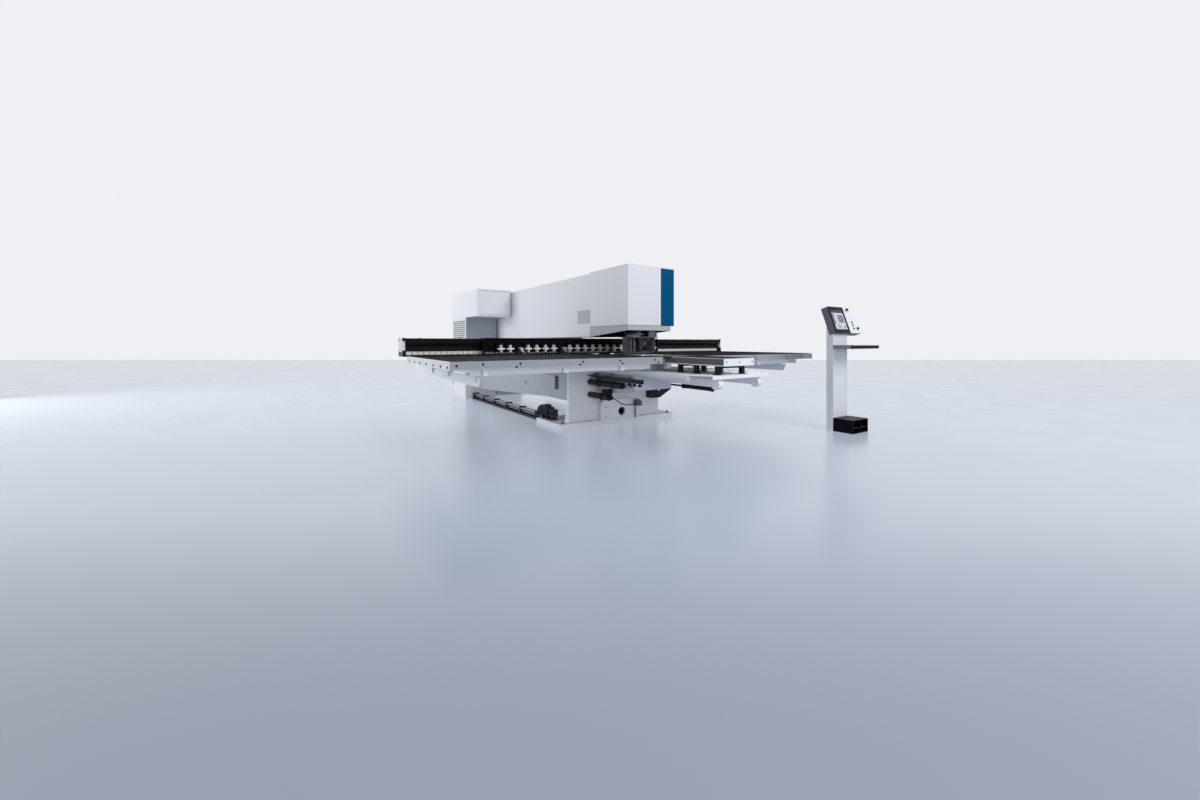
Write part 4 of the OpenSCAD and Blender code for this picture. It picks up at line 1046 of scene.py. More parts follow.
    def cover_screws(self) -> None:
        """Adds the screws along the covers' lower edges and the flat ones on the head."""
        shared = [-0.02, 0.5, 1.1, 1.7, 2.3]
        left = screws(line_y(self.left_x, shared, self.screw_z), Axis.X, Head.COVER, True)
        right = screws(line_y(self.right_x, [*shared, 2.64, 3.3, 3.9], self.screw_z), Axis.X,
                       Head.COVER)
        self.add("arm_cover_screws", left + right, Palette.ZINC, "cover_paint")
        places = grid_places([self.head_left_x + 0.03, 0.13], [-0.985, -0.58, -0.17], [2.084])
        flat = lathe([(0.008, -0.0005), (0.008, -0.0002), (0.007, 0.0)], 12)
        self.add("head_top_screws", flat.repeated(places), Palette.ZINC, "cover_paint")


@dataclass
class Cabinet(Assembly):
    """The cabinet behind the arm, with its air grille and the overhead box.

    Attributes:
        left_x: The cabinet's left side.
        front_y: Its front.
        back_y: Its back.
        margin: Distance of the door's gap from the front and the back.
        gap: Width of a door's gap.
        door_z: Lowest and highest z of the left door's gap.
        hinge_z: Heights of its hinges.
        rear_x: The x of the rear door's two gaps.
        rear_z: Lowest and highest z of those gaps.
        grille_y: The y of the grille's screws.
        grille_z: Their two heights.
        hole: Side of the tile of painted shade behind a grille hole.
        hole_pitch: Distances between holes along y and z.
        hole_first: The y and z of the first hole.
        hole_count: Number of holes along y and z.
        overhead_front_y: Front of the overhead box.
    """

    left_x: float = -1.010
    front_y: float = 3.427
    back_y: float = 4.340
    margin: float = 0.050
    gap: float = 0.005
    door_z: tuple[float, float] = (0.05, 1.07)
    hinge_z: tuple[float, ...] = (0.22, 0.86)
    rear_x: tuple[float, ...] = (-0.95, -0.46)
    rear_z: tuple[float, float] = (0.10, 1.55)
    grille_y: tuple[float, ...] = (3.484, 3.884, 4.283)
    grille_z: tuple[float, ...] = (1.106, 1.554)
    hole: float = 0.0254
    hole_pitch: tuple[float, float] = (0.044, 0.040)
    hole_first: tuple[float, float] = (3.497, 1.120)
    hole_count: tuple[int, int] = (18, 11)
    overhead_front_y: float = 2.714

    NODES = {"rear_cabinet": Palette.COVER, "overhead_box": Palette.COVER,
             "cabinet_grille": Palette.GRILLE}

    def build(self) -> None:
        """Adds the doors' gaps, hinges and lock, and painted shade in the grille's holes, on the
        cabinet's front and along the overhead box's folds.
        """
        self.door()
        self.rear_door()
        self.grille()
        self.sheets()

    def door(self) -> None:
        """Adds the left door's gap on three sides, its hinges and its lock."""
        face, half = self.left_x, self.gap / 2
        ys = inset((self.front_y, self.back_y), self.margin)
        low, top = self.door_z
        strips = [box((face - HAIR, y - half, low), (face + HAIR, y + half, top)) for y in ys]
        strips.append(box((face - HAIR, ys[0], top - half), (face + HAIR, ys[1], top + half)))
        self.add("cabinet_door_gap", sum_of(strips), Palette.SHADOW, "dark_paint")
        hinge = lathe([(0.006, 0), (0.0065, 0.002), (0.0065, 0.078), (0.006, 0.08)], 12)
        seats = [(face - 0.0005, ys[1] + 0.012, z) for z in self.hinge_z]
        self.add("cabinet_hinges", hinge.repeated(np.array(seats)), Palette.BOLT, "black_paint")
        lock = box((face - 0.012, ys[0] + 0.045, 0.55), (face, ys[0] + 0.075, 0.69))
        grip = box((face - 0.0135, ys[0] + 0.052, 0.565), (face - 0.012, ys[0] + 0.068, 0.655))
        self.add("cabinet_lock", lock + grip, Palette.BLACK, "black_paint")

    def rear_door(self) -> None:
        """Adds the two upright gaps of the rear door."""
        half = self.gap / 2
        strips = [box((x - half, self.back_y - HAIR, self.rear_z[0]),
                      (x + half, self.back_y, self.rear_z[1])) for x in self.rear_x]
        self.add("cabinet_rear_gap", sum_of(strips), Palette.SHADOW, "dark_paint")

    def grille(self) -> None:
        """Adds the grille's screws and a tile of painted shade behind each of its holes."""
        rim = grid_places([self.left_x - 0.004], self.grille_y, self.grille_z)
        self.add("grille_screws", screws(rim, Axis.X, Head.SHEET, True), Palette.ZINC,
                 "grille_paint")
        edge = 0.0003
        tile = box((0, edge, edge), (0.0006, edge + self.hole, edge + self.hole))
        ys, zs = [self.hole_first[i] + self.hole_pitch[i] * np.arange(self.hole_count[i])
                  for i in (0, 1)]
        holes = grid_places([self.left_x - 0.0036], ys, zs)
        # Painted shade: dark tiles for the shaded inside behind the grille's holes.
        self.add("grille_hole_backs", tile.repeated(holes), Palette.SHADOW, "grille_paint")

    def sheets(self) -> None:
        """Adds painted shade: a grey sheet on the cabinet's front under the overhead box, and dark
        lines along the folds of the overhead box's front.
        """
        front = box((-1.006, self.front_y - 0.0008, 0.45), (-0.385, self.front_y + 0.0002, 1.62))
        # Painted shade: a grey sheet on the cabinet's front, under the overhead box.
        self.add("cabinet_front_sheet", front, Palette.SIDE_SHADE, "cover_paint")
        near, far, half = self.overhead_front_y - 0.0004, self.overhead_front_y + 0.0002, 0.002
        folds = [box((-0.985, near, z - half), (-0.39, far, z + half)) for z in (1.632, 2.07)]
        # Painted shade: dark lines along the overhead box's folds.
        self.add("overhead_box_folds", sum_of(folds), Palette.SHADOW, "cover_paint")


@dataclass
class Underframe(Assembly):
    """The C-frame's lower arm, the foot, and what hangs on them.

    Attributes:
        foot_corner: The x and y of an anchor hole.
        foot_top: Height of the foot plate's upper side at the anchors.
        box_front_y: Front of the box on the foot.
        box_screws: The x and z of its screws.
        box_hole: Place of the disc of painted shade in its round hole.
        side_x: The side panels' distance from the middle.
        side_top_z: Height of their upper row of screws.
        side_low: Height of their lower row at its start, and its fall in each metre.
        arm_left_x: Left side of the lower arm.
        arm_plugs: The y and z of the plugs there.
        gland_x: The x of the cable glands.
        gland_y: The box side that they stand on.
        gland_z: Their heights.
        pump_centre: Middle of the pump's front.
        pump_circle: Radius of the circle of its screws.
        bracket_y: Front of the strut's bracket.
        bracket_screws_at: The x and z of its screws.
        block_y: Front of the lubrication block.
        block_x: The x of its screws.
        block_z: Their heights.
    """

    foot_corner: tuple[float, float] = (0.895, 0.300)
    foot_top: float = 0.060
    box_front_y: float = -0.335
    box_screws: Pairs = ((-0.24, 0.10), (0.27, 0.10), (-0.24, 0.23), (0.27, 0.23))
    box_hole: tuple[float, float, float] = (0.030, -0.3045, 0.155)
    side_x: float = 0.760
    side_top_z: float = 0.765
    side_low: tuple[float, float] = (0.345, 0.041)
    arm_left_x: float = -0.300
    arm_plugs: Pairs = ((-0.98, 0.571), (-0.588, 0.697), (-0.30, 0.60))
    gland_x: float = -0.782
    gland_y: float = 0.095
    gland_z: tuple[float, ...] = (0.500, 0.544, 0.588, 0.632)
    pump_centre: tuple[float, float, float] = (-0.844, -0.0205, 0.156)
    pump_circle: float = 0.055
    bracket_y: float = -0.3755
    bracket_screws_at: Pairs = ((0.585, 0.46), (0.585, 0.33), (0.68, 0.33), (0.68, 0.46),
                                (0.83, 0.455))
    block_y: float = -0.4255
    block_x: tuple[float, float] = (0.250, 0.312)
    block_z: tuple[float, float] = (0.236, 0.278)

    NODES = {
        "foot_plate": Palette.WHITE, "pedestal": Palette.WHITE, "c_frame": Palette.FRAME,
        # The side panels and the junction box take the grey of painted shade.
        "side_panels": Palette.SIDE_SHADE, "junction_box": Palette.SIDE_SHADE, "pipe_tray": Palette.DARK,
        "floor_pipes": Palette.PIPE, "drive_motor": Palette.DARK, "accumulators": Palette.BLACK,
        "valve_manifold": Palette.BLACK, "lube_block": Palette.HOUSING,
        "strut_bracket": Palette.DARK, "gas_strut": Palette.BLACK, "y_rails": Palette.STEEL,
    }

    def build(self) -> None:
        """Adds the anchors, screws, openings and hoses."""
        self.anchors()
        self.frame_screws()
        self.openings()
        self.hoses()
        self.fitting_screws()

    def anchors(self) -> None:
        """Adds an anchor stud, nut and washer at each hole of the foot plate."""
        x, y = self.foot_corner
        corners = grid_places([-x, x], [-y, y], [self.foot_top])
        washer = lathe([(0.030, 0), (0.030, 0.004), (0.017, 0.004)], 24)
        nut = lathe([(0.024, 0.004), (0.024, 0.018), (0.021, 0.020), (0.013, 0.020)], 6)
        stud = lathe([(0.0125, 0), (0.0125, 0.030), (0.010, 0.033)], 16)
        self.add("anchor_nuts", (washer + nut + stud).repeated(corners), Palette.ZINC,
                 "bright_steel")

    def frame_screws(self) -> None:
        """Adds the screws of the side panels and the foot's box, and the arm's plugs.

        The panels' lower row falls in a straight line to the back.
        """
        ys = np.arange(0.02, 3.3, 0.46)
        low, fall = self.side_low
        sloped = [(-self.side_x, y, low - fall * (y + 0.2)) for y in ys]
        heads = (screws(line_y(-self.side_x, ys, self.side_top_z), Axis.X, Head.SIDE_SHEET, True)
                 + screws(line_y(self.side_x, ys, self.side_top_z), Axis.X, Head.SIDE_SHEET)
                 + screws(sloped, Axis.X, Head.SIDE_SHEET, True))
        self.add("side_sheet_screws", heads, Palette.ZINC, "side_paint")
        front = screws([(x, self.box_front_y, z) for x, z in self.box_screws], Axis.Y,
                       Head.SIDE_SHEET, True)
        self.add("foot_box_screws", front, Palette.ZINC, "white_paint")
        plugs = screws([(self.arm_left_x, y, z) for y, z in self.arm_plugs], Axis.X, Head.PLUG,
                       True)
        self.add("lower_arm_plugs", plugs, Palette.BLACK, "black_paint")

    def openings(self) -> None:
        """Adds the junction box's cable glands and a disc of painted shade in the foot's hole."""
        gland = lathe([(0.0153, 0), (0.0153, 0.0078), (0.0113, 0.0082), (0.0113, 0.0244)], 20)
        seats = np.array([(self.gland_x, self.gland_y, z) for z in self.gland_z])
        self.add("gland_caps", gland.along(Axis.Y, True).repeated(seats), Palette.BLACK,
                 "black_paint")
        # Painted shade: a dark disc for the shaded inside of the hole.
        ground = lathe([(0.045, 0), (0.045, 0.001)], 32).along(Axis.Y, True)
        self.add("foot_hole_ground", ground.moved(*self.box_hole), Palette.SHADOW, "dark_paint")

    def hoses(self) -> None:
        """Adds the short fixed hoses between the accumulators, the block and the arm."""
        upper = curve([(-0.450, -0.75, 0.545), (-0.455, -0.72, 0.50), (-0.46, -0.62, 0.47),
                       (-0.45, -0.58, 0.452)])
        lower = curve([(-0.45, -0.760, 0.412), (-0.43, -0.83, 0.40), (-0.30, -0.80, 0.33),
                       (0.0, -0.60, 0.275), (0.20, -0.44, 0.262), (0.24, -0.42, 0.258)])
        feed = curve([(-0.45, -0.50, 0.655), (-0.47, -0.42, 0.67), (-0.43, -0.33, 0.68),
                      (-0.33, -0.29, 0.69)])
        self.add("accumulator_hoses", tube(upper, 0.007) + tube(lower, 0.006) + tube(feed, 0.009),
                 Palette.RUBBER, "black_paint")
        ends = [(-0.450, -0.75, 0.548), (-0.45, -0.60, 0.448)]
        nut = lathe([(0.013, -0.008), (0.013, 0.008)], 6)
        self.add("hose_nuts", nut.repeated(np.array(ends)), Palette.ZINC, "pipe_steel")

    def fitting_screws(self) -> None:
        """Adds the screws of the pump, the strut's bracket and the lubrication block."""
        x, y, z = self.pump_centre
        turn = np.arange(4) * np.pi / 2 + np.pi / 4
        seats = np.stack([x + self.pump_circle * np.cos(turn), np.full(4, y),
                          z + self.pump_circle * np.sin(turn)], 1)
        self.add("motor_screws", screws(seats, Axis.Y, Head.PUMP, True), Palette.ZINC,
                 "pipe_steel")
        plate = [(x, self.bracket_y, z) for x, z in self.bracket_screws_at]
        self.add("strut_bracket_screws", screws(plate, Axis.Y, Head.BRACKET, True), Palette.BOLT,
                 "pipe_steel")
        block = [(x, self.block_y, z) for x in self.block_x for z in self.block_z]
        self.add("lube_block_screws", screws(block, Axis.Y, Head.BLOCK, True), Palette.BOLT,
                 "pipe_steel")


def tuft_field(low: tuple[float, float], high: tuple[float, float], z: float) -> Shape:
    """Sets bristle tufts on a grid.

    Args:
        low: The field's lowest x and y.
        high: Its highest x and y.
        z: Height of the tufts' feet.

    Returns:
        Six-sided cones cut flat, every second row shifted by half the pitch.
    """
    tuft = lathe([(0.0078, 0), (0.0055, 0.0022)], 6)
    xs = np.arange(low[0] + 0.012, high[0] - 0.028, TUFT_PITCH)
    ys = np.arange(low[1] + 0.012, high[1] - 0.010, TUFT_PITCH)
    places = grid_places(xs, ys, [z])
    row = np.round((places[:, 1] - ys[0]) / TUFT_PITCH).astype(int)
    places[:, 0] += (row % 2) * TUFT_PITCH / 2
    return tuft.repeated(places)


@dataclass
class Deck(Assembly):
    """The parts deck, its beams, and the fixed tables above it.

    Attributes:
        deck_top: Height of the deck.
        table_top: Height of the fixed tables.
        mats: Two opposite corners, in x and y, of each brush mat.
        strip_x: Left edges of the deck's slide strips.
        strip_y: Their first and last y.
        strip_w: Their width.
        front_y: Front of the fixed front table.
        left_x: Its left side.
        screw_z: Height of its screws.
        screw_x: The x of the screws in front.
        screw_y: The y of those on the left.
        apron_y: First and last y of the painted shade on its left apron.
        apron_z: Lowest and highest z of that painted shade.
    """

    deck_top: float = 0.780
    table_top: float = 0.954
    mats: tuple[Pairs, ...] = (
        ((-0.165, -2.340), (0.281, -1.590)), ((-0.240, -1.030), (-0.160, -0.310)),
        ((0.200, -1.030), (0.300, -0.310)), ((-0.150, -0.600), (0.190, -0.310)))
    strip_x: tuple[float, ...] = (-0.325, -0.210, 0.020, 0.140, 0.260, 0.560)
    strip_y: tuple[float, float] = (-2.04, -1.09)
    strip_w: float = 0.045
    front_y: float = -2.3505
    left_x: float = -0.1755
    screw_z: float = 0.914
    screw_x: tuple[float, ...] = (-0.14, 0.06, 0.26)
    screw_y: tuple[float, ...] = (-2.28, -1.96, -1.64)
    apron_y: tuple[float, float] = (-2.346, -1.476)
    apron_z: tuple[float, float] = (0.882, 0.948)

    NODES = {
        "parts_deck": Palette.WHITE, "deck_beams": Palette.WHITE, "table_posts": Palette.BLACK,
        "front_table": Palette.TABLE, "die_table": Palette.TABLE, "chute_flap": Palette.DARK,
    }

    def build(self) -> None:
        """Adds the brush mats, the deck's slide strips, the front table's screws and painted shade
        on its left side.
        """
        proud = self.table_top + 0.0005
        pads = [box((*low, self.table_top - 0.001), (*high, proud)) for low, high in self.mats]
        self.add("fixed_table_mats", sum_of(pads), Palette.BRUSH, "brush_black")
        tufts = [tuft_field(low, high, proud) for low, high in self.mats]
        self.add("fixed_table_tufts", sum_of(tufts), Palette.TUFT, "brush_black")
        strips = [box((x, self.strip_y[0], self.deck_top),
                      (x + self.strip_w, self.strip_y[1], self.deck_top + 0.0008))
                  for x in self.strip_x]
        self.add("deck_slide_strips", sum_of(strips), Palette.LEAD_AND_SHADE, "dark_paint")
        front = [(x, self.front_y, self.screw_z) for x in self.screw_x]
        side = line_y(self.left_x, self.screw_y, self.screw_z)
        heads = screws(front, Axis.Y, Head.TABLE, True) + screws(side, Axis.X, Head.TABLE, True)
        self.add("front_table_screws", heads, Palette.BOLT, "table_paint")
        # Painted shade: a dark sheet on the front table's white left side.
        apron = box((self.left_x - 0.0003, self.apron_y[0], self.apron_z[0]),
                    (self.left_x + 0.0005, self.apron_y[1], self.apron_z[1]))
        self.add("front_table_side", apron, Palette.LEAD_AND_SHADE, "table_paint")


@dataclass
class Tables(Assembly):
    """The two travelling tables, their underframe and their brush fields.

    Attributes:
        half_width: The tables' outer sides.
        front_y: Their front.
        back_y: Their back.
        inner: Distances of the left and right table's inner side from the middle.
        top_z: Height of their tops.
        brush_margin: Distance of the tufts from a table's edges.
        end_y: The y of the screws along the outer aprons.
        end_z: Their height.
        front_pairs: The x and z of the screws along the front aprons, on both sides.
        sheet_z: Depth of the painted shade on the front aprons below the top, low and high.
        plate_x: Outer face of the side plates.
        plate_slots: The y and z of their slots.
        plate_screws: The y and z of their screws.
        slot: Length, width and depth of a slot.
    """

    half_width: float = 2.670
    front_y: float = -1.544
    back_y: float = 0.275
    inner: tuple[float, float] = (0.274, 0.330)
    top_z: float = 0.954
    brush_margin: float = 0.014
    end_y: tuple[float, ...] = (0.134, -0.126, -0.408, -0.696, -0.981, -1.258, -1.488)
    end_z: float = 0.899
    front_pairs: Pairs = ((0.345, 0.889), (0.395, 0.921), (0.846, 0.890), (0.876, 0.921),
                          (1.341, 0.922), (1.376, 0.893), (2.019, 0.920), (2.059, 0.889),
                          (2.376, 0.921), (2.609, 0.914))
    sheet_z: tuple[float, float] = (0.078, 0.004)
    plate_x: float = 2.330
    plate_slots: Pairs = ((1.31, 0.703), (1.31, 0.733), (-0.65, 0.721), (-0.65, 0.751))
    plate_screws: Pairs = ((1.026, 0.712), (0.594, 0.757), (0.010, 0.758), (-0.411, 0.712),
                           (-0.898, 0.772), (-1.180, 0.760), (-0.66, 0.778))
    slot: tuple[float, float, float] = (0.070, 0.018, 0.0012)

    NODES = {"left_table": Palette.TABLE, "right_table": Palette.TABLE,
             "left_brushes": Palette.BRUSH, "right_brushes": Palette.BRUSH,
             "table_beams": Palette.WHITE, "y_saddles": Palette.DARK}

    def build(self) -> None:
        """Adds tufts, apron screws, painted shade on the front aprons, and painted shade in the
        side plates' slots.
        """
        margin = self.brush_margin
        spans = (("left", -self.half_width, -self.inner[0]),
                 ("right", self.inner[1], self.half_width))
        for side, low, high in spans:
            tufts = tuft_field((low + margin, self.front_y + margin),
                               (high - margin, self.back_y - margin), self.top_z)
            self.add(side + "_table_tufts", tufts, Palette.TUFT, "brush_black", Body.TABLES)
        self.apron()
        self.apron_shade()
        self.side_plates()

    def apron(self) -> None:
        """Adds the screws of the aprons: seven on each side, and pairs along the front."""
        left = line_y(-self.half_width, self.end_y, self.end_z)
        right = line_y(self.half_width, self.end_y, self.end_z)
        front = [(s * x, self.front_y, z) for x, z in self.front_pairs for s in (-1, 1)]
        heads = (screws(left, Axis.X, Head.APRON_END, True)
                 + screws(right, Axis.X, Head.APRON_END) + screws(front, Axis.Y, Head.APRON, True))
        self.add("apron_screws", heads, Palette.BOLT, "table_paint", Body.TABLES)

    def apron_shade(self) -> None:
        """Adds painted shade on the tables' front aprons: a grey sheet over each."""
        y, proud, edge = self.front_y, 0.0004, 0.002
        low, high = [self.top_z - depth for depth in self.sheet_z]
        spans = ((-self.half_width, -self.inner[0]), (self.inner[1], self.half_width))
        sheets = [box((x0 + edge, y - proud, low), (x1 - edge, y + proud, high))
                  for x0, x1 in spans]
        # Painted shade: grey sheets on the white front aprons.
        self.add("front_apron_sheets", sum_of(sheets), Palette.APRON, "table_paint", Body.TABLES)

    def side_plates(self) -> None:
        """Adds slots of painted shade and the screws seen on the plates under the tables' outer
        ends.
        """
        depth = self.slot[2]
        dark = slot_hole(*self.slot).turned(Axis.Z, 90).along(Axis.X)
        for side, name in ((-1, "left"), (1, "right")):
            face = side * (self.plate_x + 0.0002)
            start = face - depth if side < 0 else face
            slots = dark.repeated(np.array([(start, y, z) for y, z in self.plate_slots]))
            # Painted shade: dark patches for the shaded openings of the slots.
            self.add(name + "_plate_slots", slots, Palette.SHADOW, "white_paint", Body.TABLES)
            places = [(face, y, z) for y, z in self.plate_screws]
            self.add(name + "_plate_screws", screws(places, Axis.X, Head.APRON, side < 0),
                     Palette.BOLT, "white_paint", Body.TABLES)


@dataclass
class CrossRail(Assembly):
    """The cross rail with its end caps and its row of support rollers.

    Attributes:
        top_z: Height of the rail.
        middle_y: Its middle line.
        guide_y: Front of its guide bar.
        guide_z: Height of the bar's screws.
        guide_reach: The bar's screws run this far to both sides.
        guide_pitch: Distance between them.
        carriage_x: The part of the bar that the carriage hides.
        top_reach: The top's screws run this far to both sides.
        top_pitch: Distance between them.
    """

    top_z: float = 1.165
    middle_y: float = 0.420
    guide_y: float = 0.2682
    guide_z: float = 1.125
    guide_reach: float = 2.60
    guide_pitch: float = 0.13
    carriage_x: tuple[float, float] = (-1.80, 1.11)
    top_reach: float = 2.50
    top_pitch: float = 0.50

    NODES = {"cross_rail": Palette.RAIL, "rail_ends": Palette.END_CAP,
             "roller_strip": Palette.ROLLER}

    def build(self) -> None:
        """Adds the screws of the guide bar and of the rail's top."""
        low, high = self.carriage_x
        xs = np.arange(-self.guide_reach, self.guide_reach + 0.01, self.guide_pitch)
        guide = [(x, self.guide_y, self.guide_z) for x in xs if not low < x < high]
        self.add("guide_bar_screws", screws(guide, Axis.Y, Head.GUIDE_BAR, True), Palette.BOLT,
                 "pipe_steel", Body.TABLES)
        xs = np.arange(-self.top_reach, self.top_reach + 0.01, self.top_pitch)
        top = [(x, self.middle_y, self.top_z) for x in xs]
        self.add("rail_top_screws", screws(top, Axis.Z, Head.RAIL), Palette.BOLT, "rail_paint",
                 Body.TABLES)


@dataclass
class Magazine(Assembly):
    """The carriage with its tool stations, cassettes and sheet clamps.

    Attributes:
        first_x: Place of the first station.
        pitch: Distance between stations.
        count: Number of stations.
        clamp_at: Numbers of the stations that hold a clamp and no cassette.
        cassette_y: Middle of a cassette.
        cassette_z: Its lower side.
        screw_z: Heights of its screws above that.
        lid_at: The y and z of the carriage lid's screws.
        lid_x: First and last x of those screws, and the distance between them.
        pivot_at: The y and z of a clamp jaw's pivot.
        pivot_x: Half the width of a clamp's body.
        fitting: Half the distance of a clamp's fittings, and their y and z.
    """

    first_x: float = -1.557
    pitch: float = 0.128
    count: int = 21
    clamp_at: tuple[int, ...] = (2, 7, 17)
    cassette_y: float = 0.160
    cassette_z: float = 0.988
    screw_z: tuple[float, float] = (0.018, 0.078)
    lid_at: tuple[float, float] = (0.227, 1.172)
    lid_x: tuple[float, float, float] = (-1.72, 1.05, 0.16)
    pivot_at: tuple[float, float] = (0.092, 1.030)
    pivot_x: float = 0.038
    fitting: tuple[float, float, float] = (0.026, 0.165, 1.062)

    NODES = {"carriage": Palette.BLACK, "magazine": Palette.BLACK, "cassettes": Palette.CASSETTE,
             "clamp_bodies": Palette.ALUMINIUM, "clamp_jaw_1": Palette.STEEL,
             "clamp_jaw_2": Palette.STEEL, "clamp_jaw_3": Palette.STEEL}

    def build(self) -> None:
        """Adds each cassette's punch, stripper and screws, and the carriage's screws."""
        xs = [self.station_x(k) for k in range(self.count) if k not in self.clamp_at]
        at = np.array([(x, self.cassette_y, self.cassette_z) for x in xs])
        punch = lathe([(0.0118, 0.092), (0.0118, 0.100), (0.0095, 0.1015), (0.006, 0.1015)], 16)
        self.add("station_punches", punch.repeated(at), Palette.TOOL, "tool_steel", Body.MAGAZINE)
        ring = lathe([(0.0186, 0.040), (0.0205, 0.042), (0.0205, 0.048), (0.0186, 0.050)], 20)
        self.add("station_strippers", ring.repeated(at), Palette.BLACK, "black_paint",
                 Body.MAGAZINE)
        front = [(x, self.cassette_y - 0.036, self.cassette_z + z) for x in xs
                 for z in self.screw_z]
        self.add("cassette_screws", screws(front, Axis.Y, Head.CASSETTE, True), Palette.BOLT,
                 "cassette_metal", Body.MAGAZINE)
        lid = [(x, *self.lid_at) for x in np.arange(*self.lid_x)]
        self.add("carriage_lid_screws", screws(lid, Axis.Z, Head.TABLE), Palette.ZINC,
                 "black_paint", Body.MAGAZINE)
        self.clamps()

    def station_x(self, number: int) -> float:
        """Returns the x of a station."""
        return self.first_x + self.pitch * number

    def clamps(self) -> None:
        """Adds the heads of the clamps' pivot pins and the air fittings."""
        centres = [self.station_x(k) for k in self.clamp_at]
        pins = [screws([(x + s * self.pivot_x, *self.pivot_at)], Axis.X, Head.PIVOT, s < 0)
                for x in centres for s in (-1, 1)]
        self.add("clamp_pivot_heads", sum_of(pins), Palette.BOLT, "clamp_aluminium", Body.MAGAZINE)
        nut = lathe([(0.006, 0), (0.006, 0.008), (0.004, 0.009), (0.004, 0.014)], 6)
        apart, y, z = self.fitting
        seats = np.array([(x + s * apart, y, z) for x in centres for s in (-1, 1)])
        self.add("clamp_fittings", nut.repeated(seats), Palette.ZINC, "clamp_aluminium",
                 Body.MAGAZINE)


@dataclass
class PunchingUnit(Assembly):
    """The punch drive, the tool head, the stripper and the die.

    Attributes:
        punch_y: The punch's axis.
        neck_y: Front of the drive's neck.
        neck_x: The x of its two columns of screws.
        neck_z: Heights of those screws.
        recess: Left and right x, and low and high z, of the painted shade in the neck's recess.
        recess_depth: Depth of the recess.
        bar: The same four values for the bar in the recess.
        block_y: Front of the stripper's side blocks.
        left_screws: The x, and the z, of the left block's screws.
        right_screws: The same for the right block.
        rim_y: Front of the stripper's plate.
        rim_x: Left and right edge of the plate's bright rim.
        rim_z: Lowest and highest z of that rim.
        rim_screws: The x of the screws in it.
        die_circle: Radius of the circle of the die's screws.
        die_z: Height of those screws.
    """

    punch_y: float = -0.790
    neck_y: float = -0.930
    neck_x: tuple[float, float] = (-0.125, 0.140)
    neck_z: tuple[float, ...] = (1.21, 1.25, 1.29)
    recess: tuple[float, float, float, float] = (-0.107, 0.023, 1.190, 1.267)
    recess_depth: float = 0.044
    bar: tuple[float, float, float, float] = (-0.090, -0.020, 1.212, 1.226)
    block_y: float = -0.842
    left_screws: tuple[tuple[float, ...], ...] = ((-0.238, -0.155), (1.02, 1.15))
    right_screws: tuple[tuple[float, ...], ...] = ((0.162,), (1.02, 1.08, 1.14))
    rim_y: float = -0.910
    rim_x: tuple[float, float] = (-0.2495, 0.1895)
    rim_z: tuple[float, float] = (1.1765, 1.1875)
    rim_screws: tuple[float, ...] = (-0.23, -0.08, 0.06, 0.17)
    die_circle: float = 0.0645
    die_z: float = 0.9535

    NODES = {"tool_drive": Palette.ALUMINIUM, "ram": Palette.STEEL, "tool_head": Palette.TOOL,
             "stripper": Palette.LEAD_AND_SHADE, "die_seat": Palette.TOOL, "die": Palette.STEEL}

    def build(self) -> None:
        """Adds the neck's and stripper's fittings and the die's ring of screws."""
        self.neck()
        self.stripper_fittings()
        turn = np.arange(8) * np.pi / 4 + 0.2
        ring = np.stack([self.die_circle * np.cos(turn),
                         self.punch_y + self.die_circle * np.sin(turn),
                         np.full(8, self.die_z)], 1)
        self.add("die_ring_screws", screws(ring, Axis.Z, Head.SMALL), Palette.BOLT,
                 "tool_steel")

    def neck(self) -> None:
        """Adds the neck's screws, painted shade at the back of its recess, and the bar in it."""
        places = [(x, self.neck_y, z) for x in self.neck_x for z in self.neck_z]
        self.add("drive_neck_screws", screws(places, Axis.Y, Head.NECK, True), Palette.BOLT,
                 "bright_steel")
        inner = self.neck_y + self.recess_depth
        left, right, low, high = self.recess
        back = box((left, inner - 0.0005, low), (right, inner + 0.0005, high))
        # Painted shade: a dark tile at the back of the neck's recess.
        self.add("drive_recess", back, Palette.SHADOW, "black_paint")
        left, right, low, high = self.bar
        bar = box((left, inner - 0.0025, low), (right, inner - 0.0004, high))
        self.add("drive_recess_bar", bar, Palette.ALUMINIUM, "bright_steel")

    def stripper_fittings(self) -> None:
        """Adds the screws of the stripper's blocks and plate, and the plate's bright rim."""
        sides = [(x, self.block_y, z) for xs, zs in (self.left_screws, self.right_screws)
                 for x in xs for z in zs]
        plate = [(x, self.rim_y, sum(self.rim_z) / 2) for x in self.rim_screws]
        heads = screws(sides, Axis.Y, Head.NECK, True) + screws(plate, Axis.Y, Head.STRIPPER, True)
        self.add("stripper_block_screws", heads, Palette.BOLT, "tool_steel")
        rim = box((self.rim_x[0], self.rim_y - 0.0003, self.rim_z[0]),
                  (self.rim_x[1], self.rim_y + 0.0001, self.rim_z[1]))
        self.add("stripper_plate_edge", rim, Palette.ALUMINIUM, "bright_steel")


